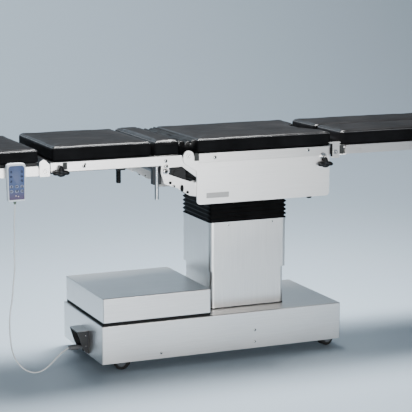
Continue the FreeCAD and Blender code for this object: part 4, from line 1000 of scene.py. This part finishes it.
@dataclass
class Top:
    """The bars, panels, hinges and drives that carry the pads."""

    finishes: Finishes

    def build(self) -> None:
        """Dress the metal of the top and add its small parts."""
        f = self.finishes
        dress(f.bar, ["seat_bars", "back_bars", "head_bars", "back_arms", "handset_hook", "leg_hinge_near",
                      "leg_hinge_far", "leg_frame_near", "leg_frame_far"])
        dress(f.panel, ["seat_panels"])
        dress(f.turned, ["hinge_pins", "head_pins"])
        dress(f.chrome, ["bridge_carriage"])
        dress(f.frame, ["seat_frame", "back_frame", "head_frame"])
        dress(f.block, ["seat_end_blocks", "back_end_blocks", "leg_stop_near", "leg_stop_far"])
        dress(f.black, ["back_drive"])
        for side in Side:
            self._screws(side)
            self._crank_details(side)
            self._panel_trim(side)
            self._leg_bumper(side)
        self._rod_shade_sleeve()
        self._name_plate()
        log.info("top metalwork ready")

    def _screws(self, side: Side) -> None:
        """Screws of the bars and of the crank plates on one side."""
        tag = side.name.lower()
        out = Vector((0.0, side.value, 0.0))
        bar = side.value * SIDE_FACE
        plate, boss = side.value * 0.247, side.value * 0.250
        back_spots = [(-0.728, bar, 0.880), (-0.372, bar, 0.880), (-0.369, bar, 0.858)]
        rows = (("seat_bar", "seat", 0.0075, [(-0.150, bar, 0.883), (0.287, bar, 0.890)]),
                ("back_bar", "back", 0.0075, back_spots),
                ("crank", "back", 0.0065, [(-0.334, plate, 0.771)]),
                ("crank_bolt", "back", 0.0125, [(-0.3725, boss, 0.8365)]))
        for name, body, radius, spots in rows:
            Screws("%s_screws_%s" % (name, tag), body, out, spots, radius).build(self.finishes)

    def _crank_details(self, side: Side) -> None:
        """Dark discs that fill the holes of a crank plate as painted shade, and the motor's bright end plate
        in its window.
        """
        tag = side.name.lower()
        face = max(abs(corner.y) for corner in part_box("back_arms"))
        inner, outer = side.value * (face - 0.001), side.value * (face + 0.0006)
        # Solid dark discs in the plate's holes: painted shade seen through the holes.
        hole_shades = Form()
        for x, z, wide, tall in ((-0.298, 0.760, 0.015, 0.030), (-0.350, 0.7865, 0.012, 0.012),
                                 (-0.273, 0.7425, 0.012, 0.012)):
            hole_shades.pushed(ellipse(x, z, wide, tall), Way.Y, min(inner, outer), max(inner, outer))
        attach(hole_shades.piece("crank_grommets_" + tag, self.finishes.seal, 0.0003), "back", "rubber_black")
        ends = sorted((side.value * 0.222, side.value * 0.232))
        cap = Form()
        cap.pushed(box_outline(-0.250, -0.228, 0.766, 0.786, 0.003), Way.Y, *ends)
        attach(cap.piece("drive_cap_" + tag, self.finishes.bar, 0.0008), "back", "steel_satin")

    def _panel_trim(self, side: Side) -> None:
        """Rubber stop under a side panel and the clamp rosette above its knob."""
        tag = side.name.lower()
        face = side.value * SIDE_FACE
        depth = sorted((face, face - side.value * 0.012))
        stop = Form()
        stop.block((0.286, depth[0], 0.680), (0.306, depth[1], 0.689), 0.003)
        attach(stop.piece("panel_stop_" + tag, self.finishes.seal, 0.0008), "seat", "rubber_black")
        profile = [(-0.001, 0.017), (0.0025, 0.017), (0.0035, 0.0155), (0.0035, 0.011), (0.002, 0.010),
                   (0.002, 0.006), (0.0045, 0.0055), (0.005, 0.003)]
        rosette = Form()
        rosette.turned(profile, Vector((0.358, face, 0.859)), Vector((0.0, side.value, 0.0)), 32)
        attach(rosette.piece("clamp_rosette_" + tag, self.finishes.turned), "seat", "steel_satin")

    def _leg_bumper(self, side: Side) -> None:
        """Dark strip on the inner edge of a leg hinge plate."""
        tag = side.name.lower()
        low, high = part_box("leg_hinge_" + tag)
        face = low.y if side is Side.NEAR else high.y
        strip = Form()
        depth = sorted((face + side.value * 0.0012, face - side.value * 0.004))
        strip.block((low.x + 0.0065, depth[0], low.z + 0.008),
                    (low.x + 0.0145, depth[1], high.z - 0.007), 0.002)
        bumper = strip.piece("hinge_bumper_" + tag, self.finishes.seal, 0.0005)
        attach(bumper, "leg_hinge_" + tag, "rubber_black")

    def _rod_shade_sleeve(self) -> None:
        """Black grooved sleeve round the far rod of the narrow pad: painted shade over the rod, which stands
        in shadow.
        """
        low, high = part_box("bridge_carriage")
        guide_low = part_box("back_frame")[0].z
        centre = Vector((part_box("bridge_pad")[0].x + 0.013, high.y - 0.009, guide_low))
        bore, outer, grooves = 0.0094, 0.0112, 5
        pitch = (guide_low - low.z - 0.002) / grooves
        profile = [(0.0, bore)]
        for groove in range(grooves):
            start = groove * pitch
            profile += [(start, outer), (start + 0.8 * pitch, outer), (start + 0.84 * pitch, outer - 0.0008),
                        (start + 0.98 * pitch, outer - 0.0008)]
        profile.append((grooves * pitch, bore))
        # Black sleeve over the far rod: painted shade of the rod.
        sleeve = Form()
        sleeve.turned(profile, centre, Vector((0.0, 0.0, -1.0)), hollow=True)
        attach(sleeve.piece("rod_shade_sleeve", self.finishes.black), "back", "plastic_black")

    def _name_plate(self) -> None:
        """Bare plate on the near side panel."""
        plate = Form()
        plate.pushed(box_outline(-0.190, -0.086, 0.7115, 0.7345, 0.003), Way.Y, -SIDE_FACE - 0.0012,
                     -SIDE_FACE + 0.0002)
        attach(plate.piece("bare_plate", self.finishes.plate, 0.0005), "seat", "steel_satin")


@dataclass
class WingKnob:
    """Black clamping knob: two side wings, a lower lobe and a small upper one round a domed hub."""

    REACH = 0.026
    LOBES = ((0.036, 0.020, 12, -0.018, -0.006), (0.036, 0.020, -12, 0.018, -0.006),
             (0.036, 0.022, 0, 0.0, -0.012), (0.018, 0.028, 0, 0.0, 0.010))
    SECTION = ((0.34, 0.75), (0.42, 0.95), (0.6, 1.0), (0.8, 0.93), (0.93, 0.7))
    HUB = ((0.0, 0.007), (0.008, 0.007), (0.009, 0.013), (0.020, 0.013), (0.024, 0.010), (0.0255, 0.004))

    name: str
    side: Side
    finishes: Finishes

    def build(self) -> None:
        """Shape the lobes, the hub and the pin; the knob's node and body have the same name."""
        low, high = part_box(self.name)
        x, z = (low.x + high.x) / 2, (low.z + high.z) / 2 + 0.003
        out = self.side.value
        back = low.y if self.side is Side.FAR else high.y
        form = Form()
        for wide, tall, lean, shift_x, shift_z in self.LOBES:
            mid_x, mid_z = x + shift_x, z + shift_z
            outline = ellipse(mid_x, mid_z, wide, tall, lean, 22)
            rings = []
            for share, size in self.SECTION:
                y = back + out * self.REACH * share
                rings.append([Vector((mid_x + (px - mid_x) * size, y, mid_z + (pz - mid_z) * size))
                              for px, pz in outline])
            form.loft(rings)
        axis = Vector((0.0, out, 0.0))
        form.turned(self.HUB, Vector((x, back, z)), axis)
        attach(form.piece(self.name + "_lobes", self.finishes.black), self.name, "plastic_black", self.name)
        pin = Form()
        pin.turned([(0.001, 0.0045), (0.0262, 0.0045), (0.0268, 0.0036)], Vector((x, back, z)), axis, 16)
        attach(pin.piece(self.name + "_pin", self.finishes.frame), self.name, "frame_paint")


@dataclass
class Castor:
    """Twin-wheel castor: its fork and wheels get their finish, and each wheel a hub cap."""

    corner: str
    finishes: Finishes

    def build(self) -> None:
        """Dress the CAD pieces and add the hub caps."""
        fork, wheels = "castor_fork_" + self.corner, "castor_wheels_" + self.corner
        dress(self.finishes.black, [fork])
        dress(self.finishes.tread, [wheels])
        joints = {joint["name"]: joint for joint in frame["joints"]}
        axle = joints["roll_" + self.corner]
        centre, axis = Vector(axle["pos_m"]), Vector(axle["axis"]).normalized()
        profile = [(0.0188, 0.021), (0.0198, 0.0205), (0.0203, 0.016), (0.0196, 0.014), (0.0196, 0.007),
                   (0.0210, 0.0065), (0.0216, 0.004)]
        caps = Form()
        for way in (-1, 1):
            caps.turned(profile, centre, axis * way, 26)
        hubs = caps.piece("castor_caps_" + self.corner, self.finishes.hub)
        attach(hubs, "wheels_" + self.corner, "plastic_black")


@dataclass
class Pedestal:
    """Base, housing, castors and column."""

    finishes: Finishes

    def build(self) -> None:
        """Dress the covers and build the castors."""
        f = self.finishes
        dress(f.cover, ["base_cover", "housing_cover"])
        dress(f.hood, ["cable_hood"])
        dress(f.column, ["lower_shell", "upper_shell", "mid_tube", "mast", "tilt_cross"])
        dress(f.seal, ["base_seal"])
        dress(f.frame, ["base_chassis", "lift_tube", "control_pack", "pitch_drive", "roll_drive"])
        for corner in ("front_left", "front_right", "rear_left", "rear_right"):
            Castor(corner, f).build()
        for side in Side:
            tag = side.name.lower()
            out = Vector((0.0, side.value, 0.0))
            face = side.value * BASE_FACE
            spots = [(-0.397, face, 0.063), (0.039, face, 0.119), (0.039, face, 0.068)]
            Screws("base_screws_" + tag, "base", out, spots, 0.0058).build(f)
            flange = side.value * 0.156
            spots = [(-0.045, flange, 0.571), (0.165, flange, 0.571)]
            Screws("column_screws_" + tag, "sleeve", out, spots, 0.0042).build(f)
        self._column_foot()
        self._hood_parts()
        log.info("pedestal ready")

    def _column_foot(self) -> None:
        """Thin rubber bead where the lower column shell meets the base."""
        low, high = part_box("lower_shell")
        grow, thick = 0.0005, 0.0018
        around = box_outline(low.x - grow, high.x + grow, low.y - grow, high.y + grow, 0.0155, 8)
        bead = Form()
        bead.tube([Vector((x, y, low.z + thick)) for x, y in refined(around, 0.08)], thick, 8, closed=True)
        attach(bead.piece("column_bead", self.finishes.seal), "base", "rubber_black")

    def _hood_parts(self) -> None:
        """Dark socket in the hood, a dark sheet inside it as painted shade, a pale steel plate on its top as
        painted highlight of the light falling there, and the two screws on its near cheek.
        """
        low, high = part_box("cable_hood")
        plug_low, plug_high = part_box("cord_plug")
        socket = Form()
        centre = Vector((high.x - 0.004, (plug_low.y + plug_high.y) / 2, (plug_low.z + plug_high.z) / 2))
        socket.turned([(0.0, 0.020), (0.006, 0.020), (0.008, 0.018), (0.008, 0.0125), (0.0, 0.0122)], centre,
                      Vector((-1.0, 0.0, 0.0)), 30)
        attach(socket.piece("plug_socket", self.finishes.black), "base", "plastic_black")
        # Dark sheet on the hood's inner back wall: painted shade of the hood's inside.
        shade_sheet = Form()
        shade_sheet.block((high.x - 0.0045, low.y + 0.0035, low.z + 0.002),
                     (high.x - 0.0035, high.y - 0.0035, high.z - 0.006))
        attach(shade_sheet.piece("hood_shade_sheet", self.finishes.seal), "base", "rubber_black")
        # Pale steel plate on the hood's top: painted highlight of the overhead light on that top.
        lit_top = Form()
        lit_top.block((low.x, low.y - 0.0004, high.z - 0.0003), (high.x, high.y + 0.0004, high.z + 0.0012))
        attach(lit_top.piece("hood_lit_top", self.finishes.cover, 0.0005), "base", "steel_satin")
        spots = [(high.x - 0.014, low.y, low.z + share * (high.z - low.z)) for share in (0.35, 0.8)]
        Screws("hood_screws", "base", Vector((0.0, -1.0, 0.0)), spots, 0.0028).build(self.finishes)


@dataclass
class HandControl:
    """Hand control that hangs on the head section, with its cord down to the base."""

    finishes: Finishes
    half_wide: float = 0.039
    diameter: float = 0.006
    route: Sequence[tuple[float, float, float]] = (
        (-1.025, -0.270, 0.7456), (-1.026, -0.269, 0.716), (-1.029, -0.266, 0.668), (-1.027, -0.262, 0.604),
        (-1.029, -0.258, 0.540), (-1.026, -0.253, 0.476), (-1.033, -0.247, 0.412), (-1.036, -0.240, 0.350),
        (-1.045, -0.232, 0.292), (-1.046, -0.224, 0.236), (-1.041, -0.216, 0.182), (-1.034, -0.208, 0.132),
        (-1.016, -0.198, 0.088), (-0.988, -0.184, 0.050), (-0.955, -0.166, 0.022), (-0.912, -0.142, 0.0045),
        (-0.868, -0.116, 0.007), (-0.830, -0.092, 0.024), (-0.797, -0.072, 0.044), (-0.768, -0.052, 0.058),
        (-0.736, -0.0332, 0.0655))

    def build(self) -> None:
        """Build the shell, the keys, the strain relief and the cord."""
        self._shell()
        self._mat()
        self._relief()
        dress(self.finishes.plug, ["cord_plug"])
        self._cord()
        log.info("hand control ready")

    def _shell(self) -> None:
        """Case with an arched top, a soft rim and a parting line."""
        low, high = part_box("handset_shell")
        mid = (low.x + high.x) / 2
        outline = self._outline(mid, low.z, high.z, self.half_wide)
        back = ((0.0, 0.004), (0.003, 0.0008), (0.012, 0.0), (0.0122, 0.0006), (0.0132, 0.0006),
                (0.0134, 0.0))
        front = ((0.005, 0.0002), (0.0018, 0.0016), (0.0004, 0.0036), (0.0, 0.0060))
        rows = [(high.y - depth, inset) for depth, inset in back]
        rows += [(low.y + depth, inset) for depth, inset in front]
        form = Form()
        form.loft([[Vector((x, y, z)) for x, z in offset_inward(outline, inset)] for y, inset in rows])
        attach(form.piece("control_case", self.finishes.shell), "handset", "plastic_grey", "handset_shell")

    def _outline(self, mid: float, low: float, high: float, half: float) -> Outline:
        """Front outline: sides that widen upwards, small lower corners and an arched top."""
        arch = 0.006
        corners = [(mid - half + 0.003, low, 0.007), (mid + half - 0.003, low, 0.007)]
        points = rounded([*corners, (mid + half, high - arch, 0.0), (mid - half, high - arch, 0.0)], 5)[:12]
        for step in range(17):
            t = math.pi * step / 16
            across = half * math.copysign(abs(math.cos(t)) ** 0.45, math.cos(t))
            points.append((mid + across, high - arch - 0.012 + (arch + 0.012) * abs(math.sin(t)) ** 0.55))
        return points

    def _mat(self) -> None:
        """Key mat with domed keys, their marks and two indicator spots."""
        low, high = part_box("handset_keymat")
        mid, face = (low.x + high.x) / 2, high.y
        mat = Form()
        half_low, half_high = 0.031, 0.033
        outline = rounded([(mid - half_low, low.z, 0.004), (mid + half_low, low.z, 0.004),
                           (mid + half_high, high.z, 0.012), (mid - half_high, high.z, 0.012)], 6)
        mat.loft([[Vector((x, y, z)) for x, z in offset_inward(outline, inset)]
                  for y, inset in ((face + 0.002, 0.0), (face - 0.0007, 0.0), (face - 0.0011, 0.0006))])
        marks = Form()
        keys = [(x, z) for z in (0.113, 0.093, 0.075) for x in (-0.022, 0.022)]
        keys += [(x, z) for z in (0.053, 0.034) for x in (-0.022, 0.0, 0.022)]
        caps = Form()
        for number, (x, z) in enumerate(keys):
            spot = (mid + x, low.z + z)
            form = mat if number < 6 else caps
            form.loft([[Vector((px, y, pz)) for px, pz in ellipse(*spot, wide, tall, 0, 20)]
                       for y, wide, tall in ((face + 0.001, 0.016, 0.013), (face - 0.0015, 0.0152, 0.0122),
                                             (face - 0.0021, 0.012, 0.009))])
            self._mark(marks, number, *spot, face - 0.0021)
        attach(caps.piece("control_caps", self.finishes.key), "handset", "plastic_blue")
        attach(mat.piece("control_keys", self.finishes.mat), "handset", "plastic_blue", "handset_keymat")
        attach(marks.piece("control_marks", self.finishes.ink), "handset", "plastic_black")
        dome = [(0.0, 0.0026), (0.0005, 0.0024), (0.0009, 0.0014)]
        spots = Form()
        for x, z in ((-0.004, 0.016), (0.006, 0.013)):
            spots.turned(dome, Vector((mid + x, face - 0.0010, low.z + z)), Vector((0.0, -1.0, 0.0)), 14)
        attach(spots.piece("control_lights", self.finishes.lamp), "handset", "plastic_grey")

    def _mark(self, form: Form, number: int, x: float, z: float, face: float) -> None:
        """One plain key mark: a bar with a small triangle, turned by the key's own angle."""
        turn = (90, 90, 0, 0, 60, -60, 90, 0, 90, 0, -90, 180)[number]
        c, s = math.cos(math.radians(turn)), math.sin(math.radians(turn))
        triangle = ((-0.001, -0.0044), (0.0052, 0.0), (-0.001, 0.0044))
        bar = ((-0.0052, -0.0036), (-0.0024, -0.0036), (-0.0024, 0.0036), (-0.0052, 0.0036))
        for shape in (triangle, bar):
            outline = [(x + u * c - v * s, z + u * s + v * c) for u, v in shape]
            form.pushed(outline, Way.Y, face - 0.0002, face + 0.0004)

    def _relief(self) -> None:
        """Ribbed strain relief that tapers towards the cord."""
        low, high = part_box("cord_boot")
        centre = Vector(((low.x + high.x) / 2, (low.y + high.y) / 2, high.z))
        profile = [(0.0, 0.0072)]
        ribs = 4
        tall = high.z - low.z
        for rib in range(ribs):
            start = tall * rib / ribs
            wide = 0.0072 - 0.0030 * rib / ribs
            profile += [(start + 0.0002, wide), (start + tall / ribs * 0.6, wide - 0.0004),
                        (start + tall / ribs * 0.7, wide - 0.0014),
                        (start + tall / ribs * 0.95, wide - 0.0014)]
        profile.append((tall, 0.0036))
        form = Form()
        form.turned(profile, centre, Vector((0.0, 0.0, -1.0)), 24)
        attach(form.piece("strain_relief", self.finishes.boot), "handset", "rubber_grey", "cord_boot")

    def _cord(self) -> None:
        """Cord as a smooth spline with the route as its control points."""
        data = bpy.data.curves.new("cord", "CURVE")
        data.dimensions = "3D"
        data.bevel_depth = self.diameter / 2
        data.bevel_resolution = 4
        spline = data.splines.new("NURBS")
        spline.points.add(len(self.route) - 1)
        for point, spot in zip(spline.points, self.route):
            point.co = (*spot, 1.0)
        spline.order_u = 3
        spline.use_endpoint_u = True
        spline.resolution_u = 8
        piece = bpy.data.objects.new("cord", data)
        data.materials.append(self.finishes.cord)
        bpy.context.scene.collection.objects.link(piece)
        attach(piece, "base", "rubber_grey", "handset_cord")


def main() -> None:
    """Build the studio and the table's sub-assemblies in order."""
    Studio().build()
    finishes = Finishes()
    HandControl(finishes).build()
    Pedestal(finishes).build()
    Bellows(finishes).build()
    Top(finishes).build()
    for end in ("head", "leg"):
        for side in Side:
            WingKnob("%s_knob_%s" % (end, side.name.lower()), side, finishes).build()
    Upholstery(finishes).build()


if __name__ == "__main__":
    main()
